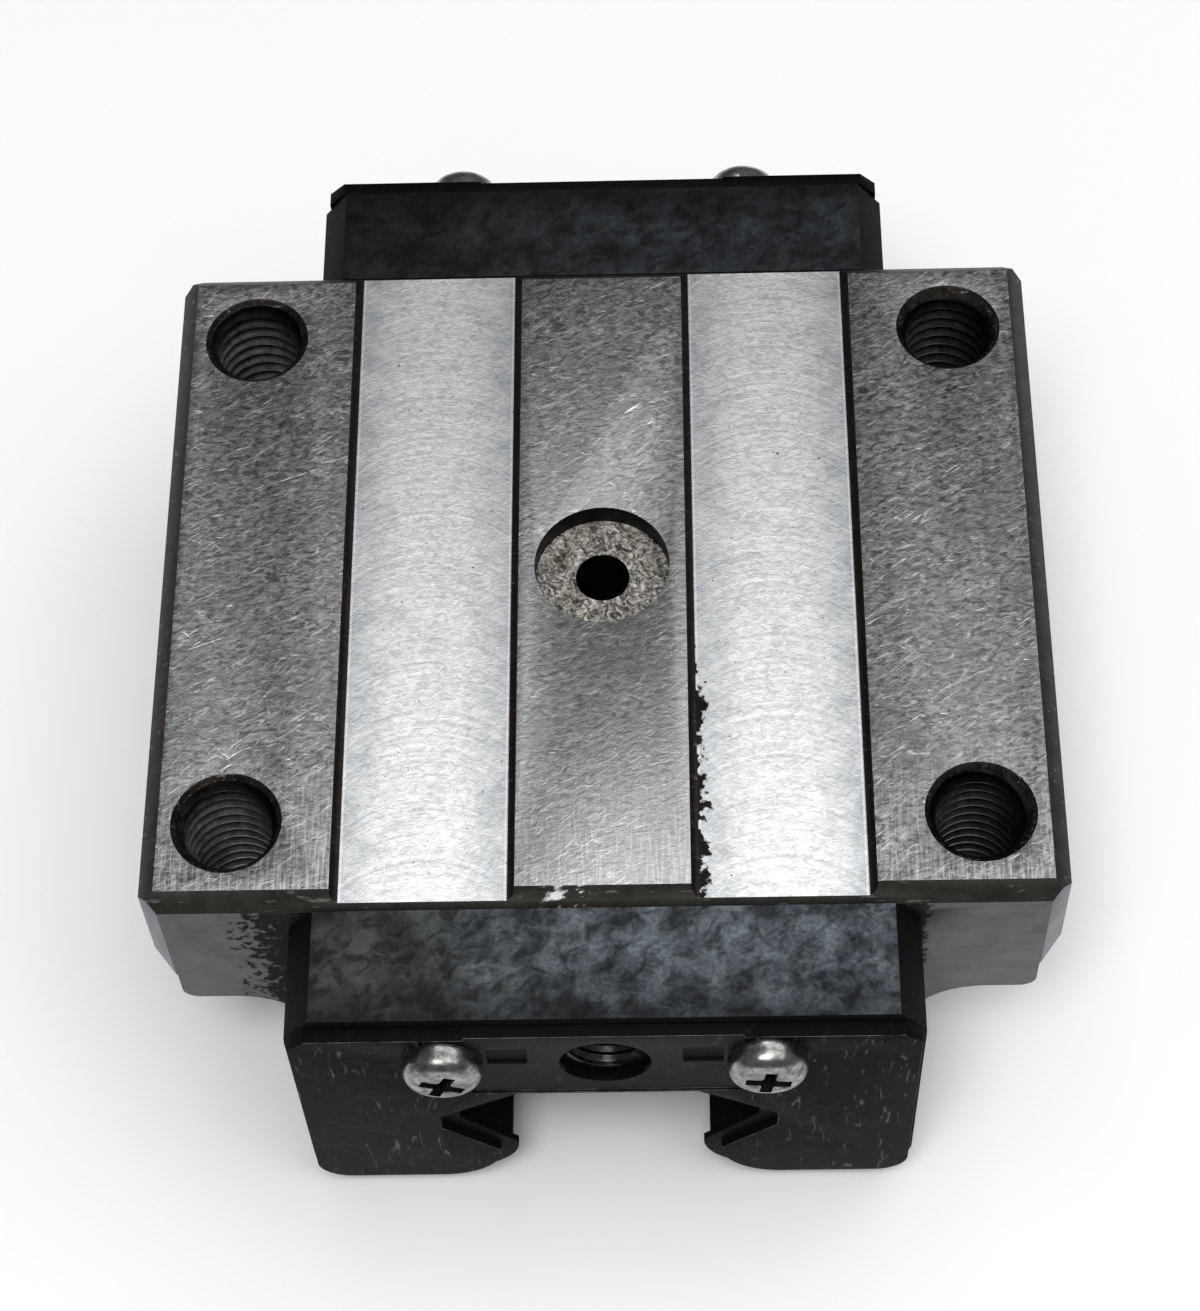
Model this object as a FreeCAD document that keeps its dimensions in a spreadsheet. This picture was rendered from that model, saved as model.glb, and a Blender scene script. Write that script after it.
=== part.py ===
"""Flanged recirculating-ball linear bearing block for a 23 mm wide profile rail.

Frame: X across the rail, Y along the travel, Z up to the mounting face.
The origin is the centre of the block's underside. Lengths are millimetres.
"""

import FreeCAD, Part
import Sketcher

import math
import os
import re

doc = FreeCAD.newDocument("linear_bearing_block")

# ---------------------------------------------------------------- driving dimensions

DIMENSIONS = [
    ("block_width", 70.0, "across the two flanges"),
    ("block_length", 59.0, "steel body along the travel"),
    ("block_height", 29.2, "underside to mounting face"),
    ("web_width", 48.0, "body below the flanges"),
    ("flange_thickness", 16.0, "depth of the flanges"),
    ("flange_fillet", 5.5, "between flange and web"),
    ("side_land", 10.0, "mounting face to the foot of the ground side faces"),
    ("side_slope", 2.0, "height of the slope below those faces"),
    ("side_inset", 1.6, "ground side faces to the rough sides below them"),
    ("flange_round", 1.3, "lower outer edges of the flanges"),
    ("top_chamfer", 1.3, "round the mounting face"),
    ("corner_chamfer", 1.5, "upright corners of the flanges"),
    ("foot_chamfer", 0.8, "lower edges of the web"),
    ("relief_inner", 6.6, "centre line to the near side of a relief groove"),
    ("relief_outer", 20.5, "centre line to the far side of a relief groove"),
    ("relief_depth", 0.8, "depth of the relief grooves"),
    ("relief_fillet", 0.7, "round at the foot of a relief groove's sides"),
    ("bolt_edge_across", 6.5, "sides of the block to the flange holes"),
    ("bolt_edge_along", 7.0, "ends of the block to the flange holes"),
    ("bolt_hole_diameter", 6.8, "M8 tapping bore"),
    ("bolt_countersink", 8.5, "mouth of the tapped holes"),
    ("lube_bore_diameter", 4.3, "centre bore"),
    ("lube_counterbore", 10.7, "seat round the centre bore"),
    ("lube_counterbore_depth", 2.0, "depth of that seat"),
    ("rail_width", 23.0, "rail across its ridges"),
    ("rail_top_width", 13.0, "flat top of the rail"),
    ("rail_top_height", 16.2, "rail top above the block's underside"),
    ("ridge_top", 12.6, "upper corner of the rail's ridge"),
    ("ridge_bottom", 11.6, "lower corner of the rail's ridge"),
    ("waist_width", 14.4, "rail across its waist"),
    ("waist_top", 6.4, "top of the straight waist"),
    ("head_corner_share", 0.6, "outward move of the grown outline's head corner, per mm of gap"),
    ("ridge_corner_share", 0.4, "upright move of the grown outline's ridge corners, per mm of gap"),
    ("roof_gap", 1.5, "rail top to the channel roof"),
    ("channel_width", 25.6, "channel between its side walls"),
    ("leg_gap", 2.1, "rail waist to the legs of the body"),
    ("ball_diameter", 4.762, "3/16 inch balls"),
    ("ball_gap", 0.03, "between neighbouring balls"),
    ("race_clearance", 0.1, "ball to raceway, on radius"),
    ("return_clearance", 0.25, "ball to return passage, on radius"),
    ("bevel_offset", 0.9, "ball centre to the bevel that its raceway is cut in"),
    ("upper_race_x", 10.0, "upper load row, from the centre line"),
    ("upper_race_z", 15.5, "upper load row, height"),
    ("upper_return_x", 17.2, "upper return bore, from the centre line"),
    ("upper_return_z", 17.4, "upper return bore, height"),
    ("lower_race_x", 10.8, "lower load row, from the centre line"),
    ("lower_race_z", 8.5, "lower load row, height"),
    ("lower_return_x", 17.5, "lower return bore, from the centre line"),
    ("lower_return_z", 7.6, "lower return bore, height"),
    ("cap_length", 9.3, "end cap along the travel"),
    ("cap_width", 47.6, "end cap across"),
    ("cap_drop", 1.2, "mounting face to the top of the caps"),
    ("cap_bevel_across", 2.0, "bevel of the cap's upper corners, across"),
    ("cap_bevel_down", 2.6, "bevel of the cap's upper corners, down"),
    ("cap_lift", 0.5, "underside of the block to the caps"),
    ("cap_corner", 3.0, "round of the cap's lower corners"),
    ("cap_rail_gap", 0.6, "rail to the cap's opening"),
    ("guide_radius", 3.0, "return guide, radius of its half disc"),
    ("guide_width", 5.4, "return guide, along the axis of the turn"),
    ("guide_gap", 0.05, "return guide to its pocket in the cap"),
    ("grease_width", 1.2, "grease ways moulded in the cap's inner face"),
    ("grease_depth", 0.8, "depth of those grease ways"),
    ("cap_leg_round", 4.8, "round of the inner corners of the cap's legs"),
    ("cap_front_chamfer", 0.3, "cap's outer edge, along its top and bevels"),
    ("port_drop", 6.3, "mounting face to the grease port"),
    ("port_diameter", 5.2, "M6 x 0.75 tapping bore"),
    ("seal_thickness", 1.2, "end seal"),
    ("seal_inset", 0.4, "edge of the cap to the edge of the seal"),
    ("seal_lift", 1.4, "underside of the block to the seals"),
    ("seal_corner", 2.6, "round of the seal's lower corners"),
    ("seal_shoulder", 1.3, "cut of the seal's upper corners"),
    ("seal_leg_round", 4.8, "round of the inner corners of the seal's legs"),
    ("seal_panel_width", 20.6, "sunken panel round the grease port, between the screws"),
    ("seal_panel_foot", 1.7, "foot of that panel above the rail's top"),
    ("seal_panel_depth", 0.2, "depth of that panel"),
    ("seal_pocket_inner", 5.8, "centre line to the small pockets beside the port"),
    ("seal_pocket_outer", 8.8, "centre line to the far side of those pockets"),
    ("seal_pocket_height", 2.6, "pockets, above the port's centre"),
    ("seal_pocket_depth", 0.25, "pockets, below the panel"),
    ("lip_width", 1.5, "sealing lip round the rail"),
    ("lip_step", 0.7, "lip's face below the seal's face"),
    ("lip_gap", 0.1, "rail to the sealing lip"),
    ("seal_port_diameter", 6.9, "hole in the seal over the grease port"),
    ("screw_spacing", 24.1, "cap screws, across"),
    ("screw_drop", 5.0, "mounting face to the cap screws"),
    ("screw_diameter", 2.9, "M3 shank over its thread"),
    ("screw_length", 16.0, "under the head"),
    ("screw_hole_diameter", 3.4, "clearance in cap and seal"),
    ("screw_tapping_diameter", 3.0, "thread in the body's ends"),
    ("screw_tapping_depth", 8.0, "depth of those holes"),
    ("head_diameter", 6.0, "pan head"),
    ("head_height", 2.2, "pan head"),
    ("head_round", 1.4, "round of the pan head's rim"),
    ("recess_span", 3.4, "cross recess, tip to tip"),
    ("recess_slot", 0.9, "cross recess, width of an arm"),
    ("recess_depth", 1.3, "cross recess"),
    ("retainer_rail_gap", 0.35, "rail to the ball retainers"),
    ("retainer_ball_gap", 0.12, "ball to the ball retainers, on radius"),
    ("side_retainer_tip", 0.65, "side retainers' inner corner above the rail's ridge"),
    ("side_retainer_shoulder", 0.2, "side retainers' shoulder above the rail's ridge"),
    ("side_retainer_foot", 0.9, "side retainers' foot above the lower load row"),
    ("side_retainer_draft", 0.1, "lean of the side retainers' inner face"),
    ("lower_retainer_hold", 0.6, "lower retainers' grip on the lower bevel"),
    ("lower_retainer_drop", 1.05, "lower retainers' tip below the lower load row"),
    ("centre_retainer_gap", 0.1, "centre retainer to the upper bevels"),
    ("centre_retainer_inset", 1.6, "centre retainer's foot inside the upper load rows"),
    ("cut_margin", 1.0, "how far cuts are drawn past the outside"),
    ("side_retainer_thickness", 0.85, "side retainers off the channel wall"),
    ("lower_retainer_thickness", 0.75, "lower retainers off the legs"),
]

sheet = doc.addObject("Spreadsheet::Sheet", "Sizes")
for row, (alias, value, meaning) in enumerate(DIMENSIONS, start=1):
    sheet.set(f"A{row}", alias)
    sheet.set(f"B{row}", str(value))
    sheet.set(f"C{row}", meaning)
    sheet.setAlias(f"B{row}", alias)
doc.recompute()

ALIASES = {alias for alias, value, meaning in DIMENSIONS}


def size(alias):
    """One driving dimension, as the number in the sheet."""
    return float(sheet.get(alias))


def expression(formula):
    """A formula in plain size names, as an expression that reads the sheet."""
    def qualify(match):
        word = match.group()
        return "Sizes." + word if word in ALIASES else word
    return re.sub(r"[a-z][a-z_]*", qualify, formula)


def bind(thing, **formulas):
    """Bind properties of an object to formulas of the driving dimensions."""
    for name, formula in formulas.items():
        thing.setExpression(name, expression(formula))


def place(thing, x="0", y="0", z="0"):
    """Bind where an object stands."""
    for axis, formula in (("x", x), ("y", y), ("z", z)):
        thing.setExpression("Placement.Base." + axis, expression(formula))


# Formulas that several pieces share.
PITCH_LINE = {
    "upper": ("upper_race_x", "upper_race_z", "upper_return_x", "upper_return_z"),
    "lower": ("lower_race_x", "lower_race_z", "lower_return_x", "lower_return_z"),
}
ROOF_Z = "(rail_top_height + roof_gap)"
WALL_X = "(channel_width / 2)"
LEG_X = "(waist_width / 2 + leg_gap)"
RACE_RADIUS = "(ball_diameter / 2 + race_clearance)"
PASSAGE_RADIUS = "(ball_diameter / 2 + return_clearance)"
FLANGE_Z = "(block_height - flange_thickness)"
LAND_Z = "(block_height - side_land)"
FLANK_X = "(block_width / 2 - side_inset)"
BOLT_X = "(block_width / 2 - bolt_edge_across)"
BOLT_Y = "(block_length / 2 - bolt_edge_along)"
PORT_Z = "(block_height - port_drop)"
SCREW_Z = "(block_height - screw_drop)"
# The 45 degree bevels that hold the raceways: x + z is constant along the upper bevel, x - z along the lower.
UPPER_BEVEL = "(upper_race_x + upper_race_z + bevel_offset * sqrt(2))"
LOWER_BEVEL = "(lower_race_x - lower_race_z + bevel_offset * sqrt(2))"


# ---------------------------------------------------------------- modelling helpers


def new_body(name):
    """A PartDesign body whose label is its node's name."""
    body = doc.addObject("PartDesign::Body", name)
    body.Label = name
    return body


def origin_plane(body, role):
    """One of the body's own origin planes."""
    return next(feature for feature in body.Origin.OriginFeatures if feature.Role == role)


def new_sketch(body, name, role="XZ_Plane", offset=None):
    """A sketch on an origin plane of the body, shifted along its normal by a formula."""
    sketch = body.newObject("Sketcher::SketchObject", name)
    sketch.AttachmentSupport = (origin_plane(body, role), [""])
    sketch.MapMode = "FlatFace"
    if offset:
        sketch.setExpression("AttachmentOffset.Base.z", expression(offset))
    return sketch


def locate(sketch, geometry, point, x, y):
    """Fix one point of a sketch at formulas of x and y from the sketch's origin."""
    for kind, formula in (("DistanceX", x), ("DistanceY", y)):
        constraint = sketch.addConstraint(Sketcher.Constraint(kind, -1, 1, geometry, point, 1.0))
        sketch.setExpression(f"Constraints[{constraint}]", expression(formula))


def draw_outline(sketch, corners):
    """Draw a closed outline of straight lines through corners given as pairs of formulas."""
    count = len(corners)
    ring = [
        FreeCAD.Vector(math.cos(math.tau * step / count), math.sin(math.tau * step / count), 0)
        for step in range(count)
    ]
    first = sketch.GeometryCount
    for step in range(count):
        sketch.addGeometry(Part.LineSegment(ring[step], ring[(step + 1) % count]), False)
    for step in range(count):
        following = (step + 1) % count
        sketch.addConstraint(Sketcher.Constraint("Coincident", first + step, 2, first + following, 1))
    for step, (x, y) in enumerate(corners):
        locate(sketch, first + step, 1, x, y)


def draw_circle(sketch, x, y, diameter):
    """Draw a circle whose centre and diameter are formulas."""
    circle = sketch.addGeometry(Part.Circle(FreeCAD.Vector(1, 1, 0), FreeCAD.Vector(0, 0, 1), 1.0), False)
    locate(sketch, circle, 3, x, y)
    constraint = sketch.addConstraint(Sketcher.Constraint("Diameter", circle, 2.0))
    sketch.setExpression(f"Constraints[{constraint}]", expression(diameter))


def both_sides(half):
    """Complete the right half of an outline, listed from the centre line round to it, by its mirror image."""
    mirror = [(f"-({x})", y) for x, y in reversed(half)]
    return half + mirror


def pad(body, name, sketch, length, midplane=False):
    """Extrude a sketch. Off the XZ plane a pad grows towards -Y."""
    feature = body.newObject("PartDesign::Pad", name)
    feature.Profile = sketch
    feature.SideType = "Symmetric" if midplane else "One side"
    bind(feature, Length=length)
    return feature


def pocket(body, name, sketch, length=None, reverse=False):
    """Cut a sketch to a depth, or right through to both sides."""
    feature = body.newObject("PartDesign::Pocket", name)
    feature.Profile = sketch
    feature.Reversed = reverse
    if length:
        bind(feature, Length=length)
    else:
        feature.Type = "ThroughAll"
        feature.SideType = "Symmetric"
    return feature


def mirror(body, name, originals, role):
    """Repeat features on the other side of an origin plane."""
    feature = body.newObject("PartDesign::Mirrored", name)
    feature.Originals = originals
    feature.MirrorPlane = (origin_plane(body, role), [""])
    body.Tip = feature
    return feature


def dress(body, kind, name, radius, chosen):
    """Fillet or chamfer the edges of the body so far that a test of their ends chooses."""
    doc.recompute()
    base = body.Tip
    names = []
    for index, edge in enumerate(base.Shape.Edges, start=1):
        box = edge.BoundBox
        if chosen(edge, box):
            names.append(f"Edge{index}")
    feature = body.newObject("PartDesign::" + kind, name)
    feature.Base = (base, names)
    bind(feature, **{"Radius" if kind == "Fillet" else "Size": radius})
    return feature


SAME_PLACE = 0.01


def near(value, target):
    """Whether two lengths are the same place on the model."""
    return abs(value - target) < SAME_PLACE


def runs_along(box, axis):
    """Whether an edge's box is a straight run along one axis."""
    lengths = {"x": box.XLength, "y": box.YLength, "z": box.ZLength}
    along = lengths.pop(axis)
    return along > 0.1 and all(length < SAME_PLACE for length in lengths.values())


def rail_outline(gap):
    """The rail's profile grown by a gap, from the centre of its top down to below the block."""
    top = f"(rail_top_height + {gap})"
    return both_sides([
        (f"(rail_top_width / 2 + {gap} * head_corner_share)", top),
        (f"(rail_width / 2 + {gap})", f"(ridge_top + {gap} * ridge_corner_share)"),
        (f"(rail_width / 2 + {gap})", f"(ridge_bottom - {gap} * ridge_corner_share)"),
        (f"(waist_width / 2 + {gap})", "waist_top"),
        (f"(waist_width / 2 + {gap})", "-block_height"),
    ])


def round_lower_corners(body, half_width, lift, gaps, outer_round, leg_round):
    """Round the outer lower corners of a cap or seal, and its legs' inner corners at each gap to the rail."""
    dress(body, "Fillet", body.Label + "_lower_rounds", outer_round, lambda edge, box: (
        runs_along(box, "y") and near(abs(box.XMax), half_width) and near(box.ZMax, lift)))
    for gap in gaps:
        leg_x = size("waist_width") / 2 + size(gap)
        dress(body, "Fillet", f"{body.Label}_{gap}_rounds", leg_round, lambda edge, box: (
            runs_along(box, "y") and near(abs(box.XMax), leg_x) and near(box.ZMax, lift)))


# ---------------------------------------------------------------- steel body


def make_carriage_body():
    """Hardened steel body: flanged section, raceways, return bores, tapped and counterbored holes."""
    body = new_body("carriage_body")

    section = new_sketch(body, "body_section")
    draw_outline(section, both_sides([
        ("relief_inner", "block_height"),
        ("relief_inner", "block_height - relief_depth"),
        ("relief_outer", "block_height - relief_depth"),
        ("relief_outer", "block_height"),
        ("block_width / 2", "block_height"),
        ("block_width / 2", LAND_Z),
        (FLANK_X, f"{LAND_Z} - side_slope"),
        (FLANK_X, FLANGE_Z),
        ("web_width / 2", FLANGE_Z),
        ("web_width / 2", "0"),
        (LEG_X, "0"),
        (LEG_X, f"{LEG_X} - {LOWER_BEVEL}"),
        (WALL_X, f"{WALL_X} - {LOWER_BEVEL}"),
        (WALL_X, f"{UPPER_BEVEL} - {WALL_X}"),
        (f"{UPPER_BEVEL} - {ROOF_Z}", ROOF_Z),
    ]))
    pad(body, "body_blank", section, "block_length", midplane=True)

    ball_ways = new_sketch(body, "ball_ways")
    for race_x, race_z, return_x, return_z in PITCH_LINE.values():
        for side in ("", "-"):
            draw_circle(ball_ways, f"{side}{race_x}", race_z, f"{RACE_RADIUS} * 2")
            draw_circle(ball_ways, f"{side}{return_x}", return_z, f"{PASSAGE_RADIUS} * 2")
    pocket(body, "raceways_and_returns", ball_ways)

    width, length, height = size("block_width"), size("block_length"), size("block_height")
    floor_z = height - size("relief_depth")

    dress(body, "Fillet", "relief_rounds", "relief_fillet", lambda edge, box: (
        runs_along(box, "y") and near(box.ZMax, floor_z)))
    dress(body, "Fillet", "flange_rounds", "flange_fillet", lambda edge, box: (
        runs_along(box, "y") and near(abs(box.XMax), size("web_width") / 2)
        and box.ZMax > size("foot_chamfer")))
    dress(body, "Fillet", "flange_lower_rounds", "flange_round", lambda edge, box: (
        runs_along(box, "y") and near(abs(box.XMax), width / 2 - size("side_inset"))
        and near(box.ZMax, height - size("flange_thickness"))))
    dress(body, "Chamfer", "flange_corners", "corner_chamfer", lambda edge, box: (
        runs_along(box, "z") and near(abs(box.XMax), width / 2) and near(abs(box.YMax), length / 2)))
    dress(body, "Chamfer", "foot_chamfers", "foot_chamfer", lambda edge, box: (
        runs_along(box, "y") and near(box.ZMax, 0)))

    # The mounting face's outer edges, with one cut across each end and one along each side.
    end_bevel = new_sketch(body, "end_bevel", "YZ_Plane")
    draw_outline(end_bevel, [
        ("-block_length / 2 - cut_margin", "block_height - top_chamfer - cut_margin"),
        ("-block_length / 2 + top_chamfer + cut_margin", "block_height + cut_margin"),
        ("-block_length / 2 - cut_margin", "block_height + cut_margin"),
    ])
    end_cut = pocket(body, "end_bevel_cut", end_bevel)
    mirror(body, "end_bevels", [end_cut], "XZ_Plane")
    side_bevel = new_sketch(body, "side_bevel")
    draw_outline(side_bevel, [
        ("block_width / 2 + cut_margin", "block_height - top_chamfer - cut_margin"),
        ("block_width / 2 - top_chamfer - cut_margin", "block_height + cut_margin"),
        ("block_width / 2 + cut_margin", "block_height + cut_margin"),
    ])
    side_cut = pocket(body, "side_bevel_cut", side_bevel)
    mirror(body, "side_bevels", [side_cut], "YZ_Plane")

    bolt_points = new_sketch(body, "bolt_points", "XY_Plane", "block_height")
    for side in ("", "-"):
        for end in ("", "-"):
            draw_circle(bolt_points, side + BOLT_X, end + BOLT_Y, "bolt_hole_diameter")
    doc.recompute()
    bolt_holes = body.newObject("PartDesign::Hole", "flange_holes")
    bolt_holes.Profile = bolt_points
    bolt_holes.DepthType = "ThroughAll"
    bolt_holes.HoleCutType = "Countersink"
    bolt_holes.HoleCutCustomValues = True
    bolt_holes.HoleCutCountersinkAngle = 90
    bind(bolt_holes, Diameter="bolt_hole_diameter", HoleCutDiameter="bolt_countersink")

    lube_point = new_sketch(body, "lube_point", "XY_Plane", "block_height")
    draw_circle(lube_point, "0", "0", "lube_bore_diameter")
    doc.recompute()
    lube_hole = body.newObject("PartDesign::Hole", "lube_port")
    lube_hole.Profile = lube_point
    lube_hole.DepthType = "ThroughAll"
    lube_hole.HoleCutType = "Counterbore"
    lube_hole.HoleCutCustomValues = True
    bind(lube_hole, Diameter="lube_bore_diameter", HoleCutDiameter="lube_counterbore",
         HoleCutDepth="lube_counterbore_depth")

    screw_points = new_sketch(body, "screw_points", offset="block_length / 2")
    for side in ("", "-"):
        draw_circle(screw_points, f"{side}screw_spacing / 2", SCREW_Z, "screw_tapping_diameter")
    screw_holes = pocket(body, "front_screw_holes", screw_points, "screw_tapping_depth")
    mirror(body, "rear_screw_holes", [screw_holes], "XZ_Plane")
    return body


# ---------------------------------------------------------------- end caps, guides and seals


def turn_distance(row):
    """Formula for the distance from a load row to its return bore."""
    race_x, race_z, return_x, return_z = PITCH_LINE[row]
    return f"sqrt(({return_x} - {race_x}) ^ 2 + ({return_z} - {race_z}) ^ 2)"


def turn_angle(row, sign):
    """Tilt of a turn about Y, in degrees: its axis is square to the line from load row to return bore."""
    race_x, race_z, return_x, return_z = (size(alias) for alias in PITCH_LINE[row])
    tilt = math.degrees(math.atan2(race_z - return_z, return_x - race_x))
    return -tilt if sign == "-" else tilt


def cut_turn(body, row, sign):
    """Cut the half-round ball passage of one row, and the pocket for its guide, right or left ('-')."""
    race_x, race_z, return_x, return_z = PITCH_LINE[row]
    name = row + ("_left" if sign else "_right")
    passage = body.newObject("PartDesign::SubtractiveTorus", name + "_turn")
    bind(passage, Radius1=turn_distance(row) + " / 2", Radius2=PASSAGE_RADIUS)
    seat = body.newObject("PartDesign::SubtractiveCylinder", name + "_guide_pocket")
    bind(seat, Radius="guide_radius + guide_gap", Height="guide_width + 2 * guide_gap")
    tilt = FreeCAD.Rotation(FreeCAD.Vector(0, 1, 0), turn_angle(row, sign))
    for feature in (passage, seat):
        feature.Placement = FreeCAD.Placement(FreeCAD.Vector(), tilt)
    middle_x = f"({race_x} + {return_x}) / 2"
    middle_z = f"({race_z} + {return_z}) / 2"
    place(passage, f"{sign}({middle_x})", "0", middle_z)
    # The cylinder stands on its foot, half its height down the tilted axis from the middle of the turn.
    half = f"(guide_width / 2 + guide_gap) / {turn_distance(row)}"
    place(seat, f"{sign}({middle_x} + ({return_z} - {race_z}) * {half})", "0",
          f"{middle_z} - ({return_x} - {race_x}) * {half}")


def make_end_cap(name):
    """Moulded end cap in its own frame: inner face at y = 0, outer face towards -Y."""
    body = new_body(name)
    top = "(block_height - cap_drop)"
    outline = new_sketch(body, name + "_outline")
    draw_outline(outline, both_sides([
        ("cap_width / 2 - cap_bevel_across", top),
        ("cap_width / 2", f"{top} - cap_bevel_down"),
        ("cap_width / 2", "cap_lift"),
    ]))
    pad(body, name + "_blank", outline, "cap_length")

    opening = new_sketch(body, name + "_rail_opening")
    draw_outline(opening, rail_outline("cap_rail_gap"))
    pocket(body, name + "_opening", opening)
    round_lower_corners(body, size("cap_width") / 2, size("cap_lift"), ["cap_rail_gap"],
                        "cap_corner", "cap_leg_round")
    bevel_foot = size("block_height") - size("cap_drop") - size("cap_bevel_down")
    dress(body, "Chamfer", name + "_front_chamfer", "cap_front_chamfer", lambda edge, box: (
        near(box.YMin, -size("cap_length")) and near(box.YMax, -size("cap_length"))
        and box.ZMin > bevel_foot - SAME_PLACE))

    for row in PITCH_LINE:
        for sign in ("", "-"):
            cut_turn(body, row, sign)

    holes = new_sketch(body, name + "_holes")
    for side in ("", "-"):
        draw_circle(holes, f"{side}screw_spacing / 2", SCREW_Z, "screw_hole_diameter")
    draw_circle(holes, "0", PORT_Z, "port_diameter")
    pocket(body, name + "_bores", holes)

    # Grease ways in the inner face lead from the port to the upper turns and down to the lower ones.
    ways = new_sketch(body, name + "_grease_ways")
    half = "grease_width / 2"
    draw_outline(ways, both_sides([
        ("upper_return_x", f"{PORT_Z} - port_diameter / 2 + {half}"),
        (f"upper_return_x + {half}", f"{PORT_Z} - port_diameter / 2 - {half}"),
        (f"upper_return_x + {half}", "lower_return_z"),
        (f"upper_return_x - {half}", "lower_return_z"),
        (f"upper_return_x - {half}", f"{PORT_Z} - port_diameter / 2 - {half}"),
    ]))
    pocket(body, name + "_grease_cut", ways, "grease_depth", reverse=True)
    return body


def make_return_guide(name, row):
    """Half-spool that the balls turn round: a half disc with a groove, axis along Z, flat side at y = 0."""
    body = new_body(name)
    blank = new_sketch(body, name + "_profile")
    draw_outline(blank, [
        ("0", "guide_width / 2"),
        ("guide_radius", "guide_width / 2"),
        ("guide_radius", "-guide_width / 2"),
        ("0", "-guide_width / 2"),
    ])
    disc = body.newObject("PartDesign::Revolution", name + "_half_disc")
    disc.Profile = blank
    disc.ReferenceAxis = (blank, ["V_Axis"])
    disc.Angle = 180
    disc.Reversed = True
    groove = body.newObject("PartDesign::SubtractiveTorus", name + "_groove")
    bind(groove, Radius1=turn_distance(row) + " / 2", Radius2=PASSAGE_RADIUS)
    return body


def make_end_seal(name):
    """End seal in its own frame: back at y = 0, outer face towards -Y, lip following the rail."""
    body = new_body(name)
    top = "(block_height - cap_drop - seal_inset)"
    edge = "(cap_width / 2 - seal_inset)"
    outline = new_sketch(body, name + "_outline")
    draw_outline(outline, both_sides([
        (f"{edge} - seal_shoulder", top),
        (edge, f"{top} - seal_shoulder"),
        (edge, "seal_lift"),
    ]))
    pad(body, name + "_blank", outline, "seal_thickness")

    opening = new_sketch(body, name + "_rail_opening")
    draw_outline(opening, rail_outline("lip_gap"))
    pocket(body, name + "_opening", opening)
    lip = new_sketch(body, name + "_lip", offset="seal_thickness")
    draw_outline(lip, rail_outline("lip_width"))
    pocket(body, name + "_lip_step", lip, "lip_step")
    round_lower_corners(body, size("cap_width") / 2 - size("seal_inset"), size("seal_lift"),
                        ["lip_width", "lip_gap"], "seal_corner", "seal_leg_round")

    panel = new_sketch(body, name + "_panel", offset="seal_thickness")
    draw_outline(panel, both_sides([
        ("seal_panel_width / 2", f"{top} + cut_margin"),
        ("seal_panel_width / 2", "rail_top_height + seal_panel_foot"),
    ]))
    pocket(body, name + "_panel_cut", panel, "seal_panel_depth")

    for side in ("", "-"):
        hollow = new_sketch(body, name + ("_left" if side else "_right") + "_hollow", offset="seal_thickness")
        draw_outline(hollow, [
            (side + "seal_pocket_inner", PORT_Z),
            (side + "seal_pocket_outer", PORT_Z),
            (side + "seal_pocket_outer", f"{PORT_Z} + seal_pocket_height"),
            (side + "seal_pocket_inner", f"{PORT_Z} + seal_pocket_height"),
        ])
        pocket(body, hollow.Label + "_cut", hollow, "seal_panel_depth + seal_pocket_depth")

    holes = new_sketch(body, name + "_holes")
    for side in ("", "-"):
        draw_circle(holes, f"{side}screw_spacing / 2", SCREW_Z, "screw_hole_diameter")
    draw_circle(holes, "0", PORT_Z, "seal_port_diameter")
    pocket(body, name + "_bores", holes)
    return body


# ---------------------------------------------------------------- screws, balls and retainers


def make_cap_screw(name):
    """M3 pan-head screw in its own frame: head's seat at y = 0, head towards -Y, shank towards +Y."""
    body = new_body(name)
    profile = new_sketch(body, name + "_profile", "XY_Plane")
    draw_outline(profile, [
        ("0", "-head_height"),
        ("head_diameter / 2", "-head_height"),
        ("head_diameter / 2", "0"),
        ("screw_diameter / 2", "0"),
        ("screw_diameter / 2", "screw_length"),
        ("0", "screw_length"),
    ])
    turned = body.newObject("PartDesign::Revolution", name + "_turned")
    turned.Profile = profile
    turned.ReferenceAxis = (profile, ["V_Axis"])
    turned.Angle = 360
    dress(body, "Fillet", name + "_crown", "head_round", lambda edge, box: (
        near(box.YMin, -size("head_height")) and near(box.YMax, -size("head_height"))))
    recess = new_sketch(body, name + "_recess", offset="head_height")
    arm, tip = "recess_slot / 2", "recess_span / 2"
    draw_outline(recess, [
        (arm, tip), (arm, arm), (tip, arm), (tip, f"-{arm}"), (arm, f"-{arm}"), (arm, f"-{tip}"),
        (f"-{arm}", f"-{tip}"), (f"-{arm}", f"-{arm}"), (f"-{tip}", f"-{arm}"), (f"-{tip}", arm),
        (f"-{arm}", arm), (f"-{arm}", tip),
    ])
    pocket(body, name + "_cross", recess, "recess_depth")
    return body


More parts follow.
